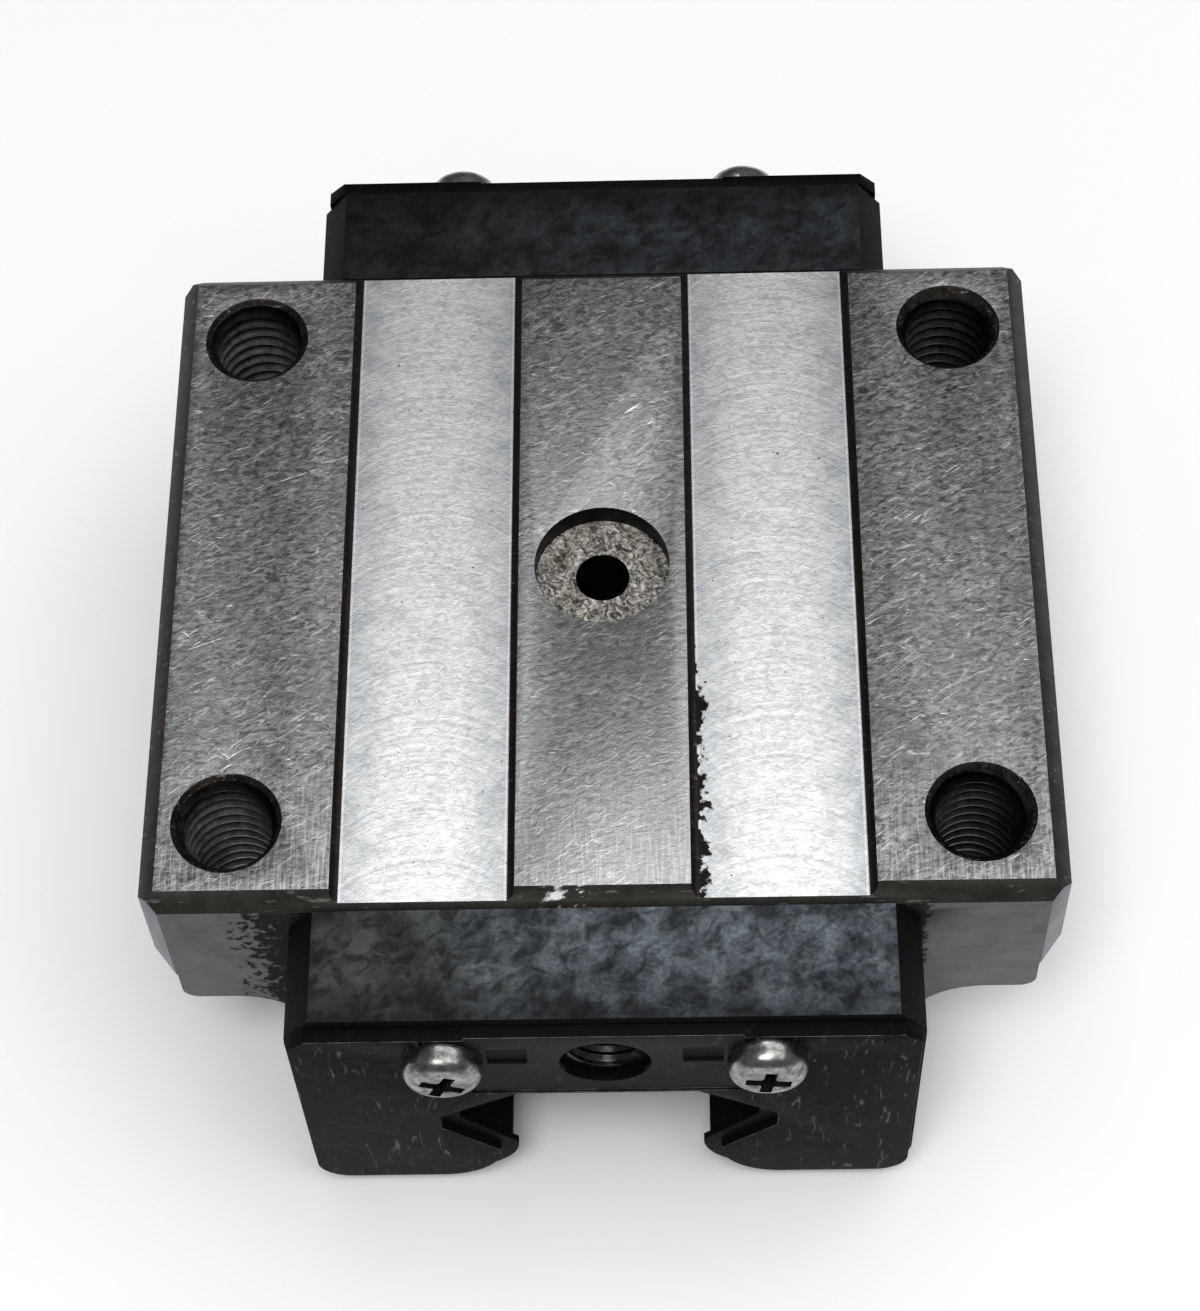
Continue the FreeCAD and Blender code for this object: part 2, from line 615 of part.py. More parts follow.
def circuit_point(row, side, station):
    """Centre of a ball at a distance along its closed circuit, which starts at the front of the load row."""
    race_x, race_z, return_x, return_z = (size(alias) for alias in PITCH_LINE[row])
    run = size("block_length")
    turn = math.hypot(return_x - race_x, return_z - race_z) / 2
    bend = math.pi * turn
    middle = FreeCAD.Vector((race_x + return_x) / 2, 0, (race_z + return_z) / 2)
    outward = FreeCAD.Vector(return_x - race_x, 0, return_z - race_z).normalize()
    station = station % (2 * (run + bend))
    if station < run:
        across, along = -turn, station - run / 2
    elif station < run + bend:
        angle = (station - run) / turn
        across, along = -turn * math.cos(angle), run / 2 + turn * math.sin(angle)
    elif station < 2 * run + bend:
        across, along = turn, run / 2 - (station - run - bend)
    else:
        angle = (station - 2 * run - bend) / turn
        across, along = turn * math.cos(angle), -run / 2 - turn * math.sin(angle)
    centre = middle + outward * across
    return FreeCAD.Vector(side * centre.x, along, centre.z)


def circuit_length(row):
    """Length of one closed ball circuit."""
    race_x, race_z, return_x, return_z = (size(alias) for alias in PITCH_LINE[row])
    turn = math.hypot(return_x - race_x, return_z - race_z) / 2
    return 2 * (size("block_length") + math.pi * turn)


HALVINGS = 40
NEAREST_PITCH = 0.5
FURTHEST_PITCH = 1.6


def next_station(row, station, pitch):
    """The station further on at which a ball stands one pitch from the ball at this station."""
    here = circuit_point(row, 1, station)
    near_end, far_end = station + pitch * NEAREST_PITCH, station + pitch * FURTHEST_PITCH
    for halving in range(HALVINGS):
        middle = (near_end + far_end) / 2
        if (circuit_point(row, 1, middle) - here).Length < pitch:
            near_end = middle
        else:
            far_end = middle
    return far_end


def make_ball_circuit(name, row, side):
    """One circuit's balls, each as close behind the last as the passage lets it come."""
    pitch = size("ball_diameter") + size("ball_gap")
    first = circuit_point(row, side, 0)
    stations = [0.0]
    while True:
        following = next_station(row, stations[-1], pitch)
        remaining = circuit_length(row) - following
        if remaining < pitch and (circuit_point(row, side, following) - first).Length < pitch:
            break
        if remaining <= 0:
            break
        stations.append(following)
    balls = [
        Part.makeSphere(size("ball_diameter") / 2, circuit_point(row, side, station))
        for station in stations
    ]
    circuit = doc.addObject("Part::Feature", name)
    circuit.Label = name
    circuit.Shape = Part.makeCompound(balls)
    circuit.Placement = FreeCAD.Placement()
    return circuit


def make_retainer(name, corners, ball_rows):
    """A retainer strip as long as the body, hollowed where balls run past it."""
    body = new_body(name)
    outline = new_sketch(body, name + "_outline")
    draw_outline(outline, corners)
    pad(body, name + "_strip", outline, "block_length", midplane=True)
    hollows = new_sketch(body, name + "_hollows")
    for x, z in ball_rows:
        draw_circle(hollows, x, z, "ball_diameter + 2 * retainer_ball_gap")
    pocket(body, name + "_ball_hollows", hollows)
    return body


def mirror_formulas(points, side):
    """Put formula pairs on the right (side '') or the left (side '-')."""
    return [(f"{side}({x})", z) for x, z in points]


# ---------------------------------------------------------------- the assembly

nodes = [make_carriage_body()]

CAP_FACE_Y = "(block_length / 2)"
SEAL_FACE_Y = "(block_length / 2 + cap_length)"
HEAD_SEAT_Y = "(block_length / 2 + cap_length + seal_thickness)"

# The rear pieces are the front ones turned half round about Z.
for end, direction, turned in (("front", "-", 0), ("rear", "", math.degrees(math.pi))):
    facing = FreeCAD.Rotation(FreeCAD.Vector(0, 0, 1), turned)
    cap = make_end_cap(f"{end}_end_cap")
    seal = make_end_seal(f"{end}_end_seal")
    for piece, face in ((cap, CAP_FACE_Y), (seal, SEAL_FACE_Y)):
        piece.Placement = FreeCAD.Placement(FreeCAD.Vector(), facing)
        place(piece, y=direction + face)
        nodes.append(piece)

    for hand, sign in (("left", "-"), ("right", "")):
        screw = make_cap_screw(f"{end}_{hand}_cap_screw")
        screw.Placement = FreeCAD.Placement(FreeCAD.Vector(), facing)
        place(screw, sign + "screw_spacing / 2", direction + HEAD_SEAT_Y, SCREW_Z)
        nodes.append(screw)

        for row, (race_x, race_z, return_x, return_z) in PITCH_LINE.items():
            guide = make_return_guide(f"{end}_{row}_{hand}_guide", row)
            lean = FreeCAD.Rotation(FreeCAD.Vector(0, 1, 0), turn_angle(row, sign))
            guide.Placement = FreeCAD.Placement(FreeCAD.Vector(), lean.multiply(facing))
            place(guide, f"{sign}({race_x} + {return_x}) / 2", direction + CAP_FACE_Y,
                  f"({race_z} + {return_z}) / 2")
            nodes.append(guide)

for hand, side, sign in (("left", -1, "-"), ("right", 1, "")):
    for row in PITCH_LINE:
        nodes.append(make_ball_circuit(f"{row}_{hand}_balls", row, side))

    side_corners = [
        (WALL_X, f"{UPPER_BEVEL} - {WALL_X}"),
        (f"{WALL_X} - 2 * side_retainer_thickness", f"{UPPER_BEVEL} - {WALL_X}"),
        (f"{WALL_X} - 2 * side_retainer_thickness + side_retainer_draft", "ridge_top + side_retainer_tip"),
        (f"{WALL_X} - side_retainer_thickness", "ridge_top + side_retainer_shoulder"),
        (f"{WALL_X} - side_retainer_thickness", "lower_race_z + side_retainer_foot"),
        (WALL_X, "lower_race_z + side_retainer_foot"),
    ]
    nodes.append(make_retainer(
        f"{hand}_side_ball_retainer", mirror_formulas(side_corners, sign),
        mirror_formulas([("upper_race_x", "upper_race_z"), ("lower_race_x", "lower_race_z")], sign)))

    lower_corners = [
        (LEG_X, "foot_chamfer"),
        (LEG_X, f"{LEG_X} - {LOWER_BEVEL}"),
        (f"{LEG_X} + lower_retainer_hold", f"{LEG_X} + lower_retainer_hold - {LOWER_BEVEL}"),
        (f"{LEG_X} - lower_retainer_thickness", "lower_race_z - lower_retainer_drop"),
        (f"{LEG_X} - lower_retainer_thickness", "foot_chamfer"),
    ]
    nodes.append(make_retainer(
        f"{hand}_lower_ball_retainer", mirror_formulas(lower_corners, sign),
        mirror_formulas([("lower_race_x", "lower_race_z")], sign)))

centre_corners = both_sides([
    (f"{UPPER_BEVEL} - {ROOF_Z} - centre_retainer_gap", ROOF_Z),
    ("upper_race_x - centre_retainer_inset", "rail_top_height + retainer_rail_gap"),
])
nodes.append(make_retainer(
    "centre_ball_retainer", centre_corners,
    [("upper_race_x", "upper_race_z"), ("-upper_race_x", "upper_race_z")]))

doc.recompute()

# ---------------------------------------------------------------- checks and STEP files

for thing in doc.Objects:
    if "Invalid" in thing.State or "Error" in thing.State:
        raise RuntimeError(f"{thing.Label} failed: {thing.State}")

for node in nodes:
    if node.Shape.isNull() or not node.Shape.isValid():
        raise RuntimeError(f"{node.Label} has no sound shape")

os.makedirs("parts", exist_ok=True)
for node in nodes:
    node.Shape.exportStep(f"parts/{node.Label}.step")
    print(node.Label, len(node.Shape.Solids), round(node.Shape.Volume, 2))
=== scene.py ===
import math

import bmesh
import bpy
from mathutils import Matrix, Vector


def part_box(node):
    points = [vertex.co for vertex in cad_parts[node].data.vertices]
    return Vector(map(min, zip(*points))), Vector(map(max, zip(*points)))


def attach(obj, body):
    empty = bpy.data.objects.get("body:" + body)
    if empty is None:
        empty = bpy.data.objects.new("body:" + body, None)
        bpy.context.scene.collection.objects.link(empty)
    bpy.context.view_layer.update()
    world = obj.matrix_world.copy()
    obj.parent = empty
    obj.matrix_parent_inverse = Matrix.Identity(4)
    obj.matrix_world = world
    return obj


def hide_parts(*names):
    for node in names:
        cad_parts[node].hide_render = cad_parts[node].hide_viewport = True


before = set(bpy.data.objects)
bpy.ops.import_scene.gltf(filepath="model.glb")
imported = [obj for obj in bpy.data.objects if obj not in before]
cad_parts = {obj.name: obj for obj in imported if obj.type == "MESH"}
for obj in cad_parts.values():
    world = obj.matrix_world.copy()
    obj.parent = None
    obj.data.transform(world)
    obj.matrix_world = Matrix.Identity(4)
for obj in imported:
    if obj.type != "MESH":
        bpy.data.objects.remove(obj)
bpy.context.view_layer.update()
MM = 0.001

# ------------------------------------------------------------------ carriage body
# The body is one forging of bearing steel, milled all over and hardened. Its mounting face is ground in
# three strips, which two milled relief grooves part. Four M8 threads are tapped through the flanges, and
# a counterbored oil hole sits in the middle. Years of use have scratched the strips and stained the edges.

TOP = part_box("carriage_body")[1].z
BODY_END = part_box("carriage_body")[1].y
FLANGE_FOOT = TOP - 16.0 * MM
WEB_SIDE = 24.0 * MM
FLANGE_FILLET = 5.5 * MM
LAND_FOOT = TOP - 10.0 * MM
EDGE_BREAK = 0.12 * MM
GROOVE = (6.6 * MM, 20.5 * MM)
GROOVE_FLOOR = TOP - 0.8 * MM
COUNTERBORE = 5.35 * MM
OIL_HOLE = 2.15 * MM
FLANGE_HOLES = [(28.5 * MM * side, 22.5 * MM * end) for side in (-1, 1) for end in (-1, 1)]
# Radii of a flange hole: the thread's crests and roots, the wall behind them, and the two mouths. The
# lower mouth stays narrow enough not to reach the facets of the round under the flange.
TAPPING_BORE = 3.4 * MM
THREAD_ROOT = 4.03 * MM
THREAD_WALL = 4.12 * MM
HOLE_MOUTH = 4.25 * MM
HOLE_FOOT = 3.62 * MM
THREAD_PITCH = 1.25 * MM
# The thread's back laps this far into the wall, and each thread starts this many radians on from the last.
THREAD_LAP = 0.03 * MM
THREAD_TURN = 1.3


def tint(hex_code):
    """A paint chart colour, #rrggbb, as linear red, green, blue and alpha."""
    parts = [int(hex_code[i:i + 2], 16) / 255 for i in (1, 3, 5)]
    return [p / 12.92 if p <= 0.04045 else ((p + 0.055) / 1.055) ** 2.4 for p in parts] + [1.0]


def wire(node, inputs):
    """Set a node's inputs, each from a number, a colour or another node's output."""
    for key, value in inputs.items():
        socket = node.inputs[key] if isinstance(key, int) else next(
            s for s in node.inputs if s.name == key and s.enabled)
        if isinstance(value, bpy.types.NodeSocket):
            node.id_data.links.new(value, socket)
        else:
            socket.default_value = value


def add(tree, kind, inputs=None, out=None, **settings):
    """Add one node with its settings and links, and give back the output that the next node needs."""
    node = tree.nodes.new("ShaderNode" + kind)
    for name, value in settings.items():
        setattr(node, name, value)
    wire(node, inputs or {})
    return node.outputs[out] if out else next(s for s in node.outputs if s.enabled)


def finish_of(name):
    """A new material: the material, its node tree, its shader, and the place on the object in metres."""
    material = bpy.data.materials.new(name)
    material.use_nodes = True
    tree = material.node_tree
    place = add(tree, "TexCoord", out="Object")
    return material, tree, tree.nodes["Principled BSDF"], place


def spots(tree, place, size, low, high, stretch=(1, 1, 1), turn=0.0, detail=3.0, shift=0.0, twist=0.0):
    """A mask of spots of about that size in mm, drawn out and turned for scratches, twisted for curls."""
    laid = add(tree, "Mapping", {"Vector": place, "Location": (shift, shift * 1.7, 0.0),
                                 "Rotation": (0.0, 0.0, math.radians(turn)), "Scale": stretch},
               vector_type="TEXTURE")
    cloud = add(tree, "TexNoise", {"Vector": laid, "Scale": 1.0 / (size * MM), "Detail": detail,
                                   "Roughness": 0.6, "Distortion": twist})
    return add(tree, "MapRange", {"Value": cloud, "From Min": low, "From Max": high})


def mixed(tree, factor, first, second):
    """One colour passing into another by a mask."""
    return add(tree, "Mix", {"Factor": factor, "A": first, "B": second}, data_type="RGBA")


def calc(tree, operation, *values):
    """Arithmetic on masks and distances."""
    return add(tree, "Math", dict(enumerate(values)), operation=operation)


def ground_face_finish():
    # Surface-ground hardened steel, dulled by handling: a mid-grey sheen full of small curled marks, with
    # bright hairline scratches that mostly rise to the right. The middle strip is the least dulled, and it
    # and the grinding lines are painted brighter towards the front, a painted highlight. Real grinding lines
    # and hairlines are too fine to show, so they are drawn coarser, 0.12 to 0.24 mm.
    material, tree, shader, place = finish_of("surface_ground_bearing_steel")
    x, y = (add(tree, "SeparateXYZ", {"Vector": place}, out=axis) for axis in "XY")
    mottle = spots(tree, place, 0.45, 0.36, 0.64, stretch=(1.7, 1.0, 1.0), turn=12, detail=4, twist=0.8)
    cloud = spots(tree, place, 4.0, 0.38, 0.62, shift=0.13, detail=7)
    steel = mixed(tree, mottle, tint("#505050"), tint("#969695"))
    steel = mixed(tree, calc(tree, "MULTIPLY", cloud, 0.5), steel, tint("#67686a"))
    curls = spots(tree, place, 0.8, 0.56, 0.72, stretch=(2.2, 1.0, 1.0), turn=30, detail=3, shift=0.041,
                  twist=1.6)
    dents = spots(tree, place, 0.9, 0.4, 0.6, stretch=(1.4, 1.0, 1.0), detail=2, shift=0.021, twist=1.0)
    steel = mixed(tree, calc(tree, "MULTIPLY", curls, 0.55), steel, tint("#c4c4c3"))
    rising = spots(tree, place, 0.16, 0.66, 0.73, stretch=(18.0, 1.0, 1.0), turn=36, shift=0.004, detail=2)
    steeper = spots(tree, place, 0.12, 0.68, 0.74, stretch=(34.0, 1.0, 1.0), turn=20, shift=0.031, detail=2)
    falling = spots(tree, place, 0.12, 0.7, 0.75, stretch=(14.0, 1.0, 1.0), turn=-40, shift=0.077, detail=2)
    dashes = spots(tree, place, 0.24, 0.69, 0.73, stretch=(6.0, 1.0, 1.0), turn=-2, shift=0.057, detail=2)
    grinding = spots(tree, place, 0.18, 0.45, 0.75, stretch=(1.0, 14.0, 1.0), shift=0.09, detail=3)
    # Painted highlight: the grinding lines are painted brighter towards the front.
    front = add(tree, "MapRange", {"Value": y, "From Min": -16 * MM, "From Max": -28 * MM})
    patches = spots(tree, place, 5.0, 0.45, 0.65, shift=0.11, detail=2)
    slanting = calc(tree, "MAXIMUM", rising, calc(tree, "MAXIMUM", steeper, falling))
    scratches = calc(tree, "MAXIMUM", slanting, dashes)
    scratches = calc(tree, "MULTIPLY", scratches, calc(tree, "MULTIPLY_ADD", patches, 0.8, 0.2))
    grinding = calc(tree, "MULTIPLY", grinding, calc(tree, "MULTIPLY_ADD", front, 0.42, 0.03))
    scratches = calc(tree, "MULTIPLY", calc(tree, "MAXIMUM", scratches, grinding), 0.95)
    steel = mixed(tree, scratches, steel, tint("#f2f2f0"))
    middle_strip = calc(tree, "LESS_THAN", calc(tree, "ABSOLUTE", x), GROOVE[0])
    # Painted highlight: the middle strip is painted paler towards the front.
    front_highlight_and_polish = add(tree, "MapRange", {"Value": y, "From Min": 28 * MM, "From Max": -28 * MM, "To Max": 0.32})
    steel = mixed(tree, calc(tree, "MULTIPLY", middle_strip, front_highlight_and_polish), steel, tint("#dededd"))
    rough = add(tree, "MapRange", {"Value": mottle, "To Min": 0.36, "To Max": 0.5})
    relief = add(tree, "Bump", {"Height": calc(tree, "ADD", mottle, calc(tree, "ADD", curls, dents)),
                                "Strength": 0.45, "Distance": 0.025 * MM})
    wire(shader, {"Base Color": steel, "Metallic": 1.0, "Roughness": rough, "Normal": relief})
    return material


def milled_groove_finish():
    # Face-milled steel, brighter and smoother than the ground strips: the cutter's arcs follow one
    # another along the groove. The middle is painted near white and the sides bluish grey, a painted
    # highlight fading into painted shade. The real arcs are too fine to show, so they are drawn coarser,
    # on a pattern of 0.5 mm.
    material, tree, shader, place = finish_of("face_milled_bearing_steel")
    x, y = (add(tree, "SeparateXYZ", {"Vector": place}, out=axis) for axis in "XY")
    middle = sum(GROOVE) / 2
    across = calc(tree, "SUBTRACT", calc(tree, "ABSOLUTE", x), middle)
    cutter = 9.0 * MM
    arc = calc(tree, "SQRT", calc(tree, "SUBTRACT", cutter ** 2, calc(tree, "MULTIPLY", across, across)))
    along = add(tree, "CombineXYZ", {"Y": calc(tree, "SUBTRACT", y, arc)})
    arcs = add(tree, "TexNoise", {"Vector": along, "Scale": 1 / (0.5 * MM), "Detail": 4.0})
    arcs = add(tree, "MapRange", {"Value": arcs, "From Min": 0.3, "From Max": 0.7})
    # Painted highlight and shade: near white in the middle of the floor, bluish grey towards the walls.
    side = add(tree, "MapRange", {"Value": calc(tree, "ABSOLUTE", across), "From Min": 1.5 * MM,
                                  "From Max": 6.6 * MM, "To Max": 0.8}, interpolation_type="SMOOTHSTEP")
    cloud = spots(tree, place, 2.2, 0.35, 0.65, detail=6, shift=0.01)
    mottle = spots(tree, place, 0.45, 0.4, 0.62, stretch=(1.4, 1.0, 1.0), detail=6, shift=0.015, twist=0.9)
    steel = mixed(tree, side, tint("#f2f2f0"), tint("#a8adb1"))
    steel = mixed(tree, calc(tree, "MULTIPLY", arcs, 0.42), steel, tint("#989c9d"))
    steel = mixed(tree, calc(tree, "MULTIPLY", mottle, 0.45), steel, tint("#8f9294"))
    steel = mixed(tree, calc(tree, "MULTIPLY", cloud, 0.3), steel, tint("#ffffff"))
    # Painted shade and grime: the floor turns browner along the foot of each wall, partly grime, partly
    # painted shade in the corner.
    grime_and_corner_shade = add(tree, "MapRange", {"Value": calc(tree, "ABSOLUTE", across), "From Min": 5.9 * MM,
                                   "From Max": 6.9 * MM, "To Max": 0.5})
    steel = mixed(tree, grime_and_corner_shade, steel, tint("#8d857c"))
    # Painted highlight: a thin white line along the round at the foot of each wall.
    fillet_highlight_line = calc(tree, "COMPARE", calc(tree, "ABSOLUTE", across), 6.2 * MM, 0.08 * MM)
    steel = mixed(tree, calc(tree, "MULTIPLY", fillet_highlight_line, 0.3), steel, tint("#ffffff"))
    specks = spots(tree, place, 0.5, 0.72, 0.76, shift=0.07, detail=2)
    steel = mixed(tree, specks, steel, tint("#4a4744"))
    # Old grease that has dried black against the right groove's inner wall, over its front half.
    edge = calc(tree, "SUBTRACT", x, GROOVE[0])
    ragged = spots(tree, place, 1.7, 0.3, 0.7, shift=0.03, detail=5)
    length = add(tree, "MapRange", {"Value": y, "From Min": -5 * MM, "From Max": -9 * MM})
    reach = calc(tree, "MULTIPLY", calc(tree, "MULTIPLY", ragged, length), 2.3 * MM)
    grease = add(tree, "MapRange", {"Value": calc(tree, "SUBTRACT", reach, edge), "From Max": 0.2 * MM})
    grease = calc(tree, "MULTIPLY", grease, calc(tree, "GREATER_THAN", edge, 0.0))
    steel = mixed(tree, calc(tree, "MULTIPLY", grease, 0.98), steel, tint("#050403"))
    rough = add(tree, "MapRange", {"Value": arcs, "To Min": 0.5, "To Max": 0.58})
    relief = add(tree, "Bump", {"Height": calc(tree, "ADD", arcs, mottle), "Strength": 0.4,
                                "Distance": 0.03 * MM})
    wire(shader, {"Base Color": steel, "Metallic": 1.0, "Roughness": rough, "Normal": relief})
    return material


def stained_steel_finish(name, dark, light, rough, worn, nick=None):
    # Machined steel that oil has stained: a nearly even tone, with pale scuffs where it is worn.
    material, tree, shader, place = finish_of(name)
    cloud = spots(tree, place, 1.8, 0.3, 0.7, detail=6, shift=0.05)
    scuffs = spots(tree, place, 0.5, 0.62, 0.72, stretch=(4.0, 1.0, 1.0), detail=3, shift=0.02)
    steel = mixed(tree, cloud, tint(dark), tint(light))
    steel = mixed(tree, calc(tree, "MULTIPLY", scuffs, worn), steel, tint("#b5b3ae"))
    if nick:
        # A knock has laid the metal bare over a few millimetres of the front edge.
        x, y = (add(tree, "SeparateXYZ", {"Vector": place}, out=axis) for axis in "XY")
        off = calc(tree, "ABSOLUTE", calc(tree, "SUBTRACT", x, nick))
        near = add(tree, "MapRange", {"Value": off, "From Min": 2.0 * MM, "From Max": 1.0 * MM})
        near = calc(tree, "MULTIPLY", near, calc(tree, "LESS_THAN", y, 0.0))
        torn = spots(tree, place, 1.0, 0.5, 0.56, stretch=(2.2, 1.0, 1.0), turn=15, detail=4, shift=0.013)
        steel = mixed(tree, calc(tree, "MULTIPLY", near, torn), steel, tint("#f6f6f4"))
    relief = add(tree, "Bump", {"Height": cloud, "Strength": 0.3, "Distance": 0.03 * MM})
    wire(shader, {"Base Color": steel, "Metallic": 0.9, "Roughness": rough, "Normal": relief})
    return material


def side_steel_finish():
    # Milled flange and web sides, satin grey. Oil has stained the ends black where the caps cover them,
    # and grease has dried in a ragged crust beside the left end of each cap.
    material, tree, shader, place = finish_of("milled_side_steel")
    x, y = (add(tree, "SeparateXYZ", {"Vector": place}, out=axis) for axis in "XY")
    cloud = spots(tree, place, 3.0, 0.3, 0.7, detail=7)
    lines = spots(tree, place, 0.25, 0.35, 0.65, stretch=(20.0, 20.0, 1.0), detail=2, shift=0.01)
    steel = mixed(tree, cloud, tint("#454646"), tint("#5d5e5f"))
    steel = mixed(tree, calc(tree, "MULTIPLY", lines, 0.2), steel, tint("#77787a"))
    at_end = calc(tree, "GREATER_THAN", calc(tree, "ABSOLUTE", y), BODY_END - 0.05 * MM)
    crust = add(tree, "MapRange", {"Value": x, "From Min": -30.5 * MM, "From Max": -24.5 * MM})
    crust = calc(tree, "MULTIPLY", crust, calc(tree, "LESS_THAN", x, 0.0))
    stain = add(tree, "MapRange", {"Value": calc(tree, "ABSOLUTE", x), "From Min": 25.2 * MM,
                                   "From Max": 23.9 * MM})
    ragged = spots(tree, place, 0.8, 0.32, 0.68, detail=7, shift=0.04)
    crust = calc(tree, "ADD", calc(tree, "MAXIMUM", crust, stain), calc(tree, "MULTIPLY", ragged, 0.85))
    crust = add(tree, "MapRange", {"Value": crust, "From Min": 0.95, "From Max": 1.15})
    crust = calc(tree, "MULTIPLY", crust, at_end)
    steel = mixed(tree, calc(tree, "MULTIPLY", crust, 0.92), steel, tint("#0b0908"))
    rough = add(tree, "MapRange", {"Value": crust, "To Min": 0.45, "To Max": 0.7})
    relief = add(tree, "Bump", {"Height": crust, "Strength": 0.5, "Distance": 0.05 * MM})
    wire(shader, {"Base Color": steel, "Metallic": 0.9, "Roughness": rough, "Normal": relief})
    return material


def counterbore_finish():
    # The counterbore's floor, left rough by the drill and never ground: pale wrinkled grit, with dark pits.
    material, tree, shader, place = finish_of("rough_counterbored_steel")
    grit = spots(tree, place, 0.5, 0.36, 0.62, detail=5, twist=1.5)
    pits = spots(tree, place, 0.7, 0.52, 0.64, stretch=(1.0, 1.8, 1.0), turn=35, detail=5, shift=0.02,
                 twist=1.2)
    rust = spots(tree, place, 2.5, 0.45, 0.65, detail=4, shift=0.06)
    steel = mixed(tree, grit, tint("#3a352f"), tint("#ded9d0"))
    steel = mixed(tree, calc(tree, "MULTIPLY", rust, 0.45), steel, tint("#6d604c"))
    steel = mixed(tree, calc(tree, "MULTIPLY", pits, 0.8), steel, tint("#1e1a15"))
    relief = add(tree, "Bump", {"Height": calc(tree, "SUBTRACT", grit, pits), "Strength": 0.8,
                                "Distance": 0.12 * MM})
    wire(shader, {"Base Color": steel, "Metallic": 0.5, "Roughness": 0.6, "Normal": relief})
    return material


def thread_finish():
    # Tapped thread: crests that screws have rubbed bright, painted brighter on the left of each hole, and
    # roots black with old oil. The two holes on the right are the oilier ones.
    material, tree, shader, place = finish_of("rubbed_thread_steel")
    x, y, z = (add(tree, "SeparateXYZ", {"Vector": place}, out=axis) for axis in "XYZ")
    hole = FLANGE_HOLES[-1]
    across = calc(tree, "SUBTRACT", x, calc(tree, "MULTIPLY", calc(tree, "SIGN", x), hole[0]))
    along = calc(tree, "SUBTRACT", y, calc(tree, "MULTIPLY", calc(tree, "SIGN", y), hole[1]))
    radius = calc(tree, "SQRT", calc(tree, "ADD", calc(tree, "MULTIPLY", across, across),
                                     calc(tree, "MULTIPLY", along, along)))
    film = spots(tree, place, 0.8, 0.35, 0.65, detail=5)
    crest = add(tree, "MapRange", {"Value": radius, "From Min": 3.85 * MM, "From Max": 3.45 * MM})
    clean = add(tree, "MapRange", {"Value": z, "From Min": TOP - 1.5 * MM, "From Max": TOP - 4 * MM,
                                   "To Min": 0.1})
    brighter_to_left = add(tree, "MapRange", {"Value": across, "From Min": 3.5 * MM, "From Max": -2 * MM,
                                    "To Min": 0.05})
    oiled = add(tree, "MapRange", {"Value": x, "From Max": 1 * MM, "To Min": 1.0, "To Max": 0.4})
    worn = calc(tree, "MULTIPLY", calc(tree, "MULTIPLY_ADD", film, 0.6, 0.4),
                calc(tree, "MULTIPLY", clean, oiled))
    crest = calc(tree, "MULTIPLY", crest, calc(tree, "MULTIPLY", worn, brighter_to_left))
    steel = mixed(tree, crest, tint("#040403"), tint("#d2cdc4"))
    mouth = add(tree, "MapRange", {"Value": z, "From Min": TOP - 0.9 * MM, "From Max": TOP - 0.6 * MM})
    lip = mixed(tree, film, tint("#0f0d0b"), tint("#45403a"))
    steel = mixed(tree, calc(tree, "MULTIPLY", mouth, 0.9), steel, lip)
    wire(shader, {"Base Color": steel, "Metallic": 0.8, "Roughness": 0.35})
    return material


def raceway_finish():
    # Ground and polished raceways, which the balls keep bright.
    material, tree, shader, place = finish_of("polished_raceway_steel")
    cloud = spots(tree, place, 2.0, 0.3, 0.7)
    steel = mixed(tree, cloud, tint("#8a8c8d"), tint("#a3a5a6"))
    wire(shader, {"Base Color": steel, "Metallic": 1.0, "Roughness": 0.25})
    return material


# Points closer than this are one point, faces that bend less are one face, and sharper ones part in shading.
WELD = 0.001 * MM
FLAT_ANGLE = math.radians(0.5)
SHADING_ANGLE = math.radians(32)


def opened(node):
    """A welded copy of a CAD node's mesh, with its flat faces whole again."""
    work = bmesh.new()
    work.from_mesh(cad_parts[node].data)
    bmesh.ops.remove_doubles(work, verts=work.verts, dist=WELD)
    bmesh.ops.dissolve_limit(work, angle_limit=FLAT_ANGLE, verts=work.verts, edges=work.edges)
    return work


def closed(work, name, finishes, node, normals=None):
    """Make the worked mesh a piece of the block, with its finishes, in the place of its CAD node."""
    mesh = bpy.data.meshes.new(name)
    work.to_mesh(mesh)
    work.free()
    for finish in finishes:
        mesh.materials.append(finish)
    mesh.set_sharp_from_angle(angle=SHADING_ANGLE)
    if normals:
        mesh.normals_split_custom_set(normals(mesh))
    piece = bpy.data.objects.new(name, mesh)
    bpy.context.scene.collection.objects.link(piece)
    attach(piece, "root")
    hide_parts(node)


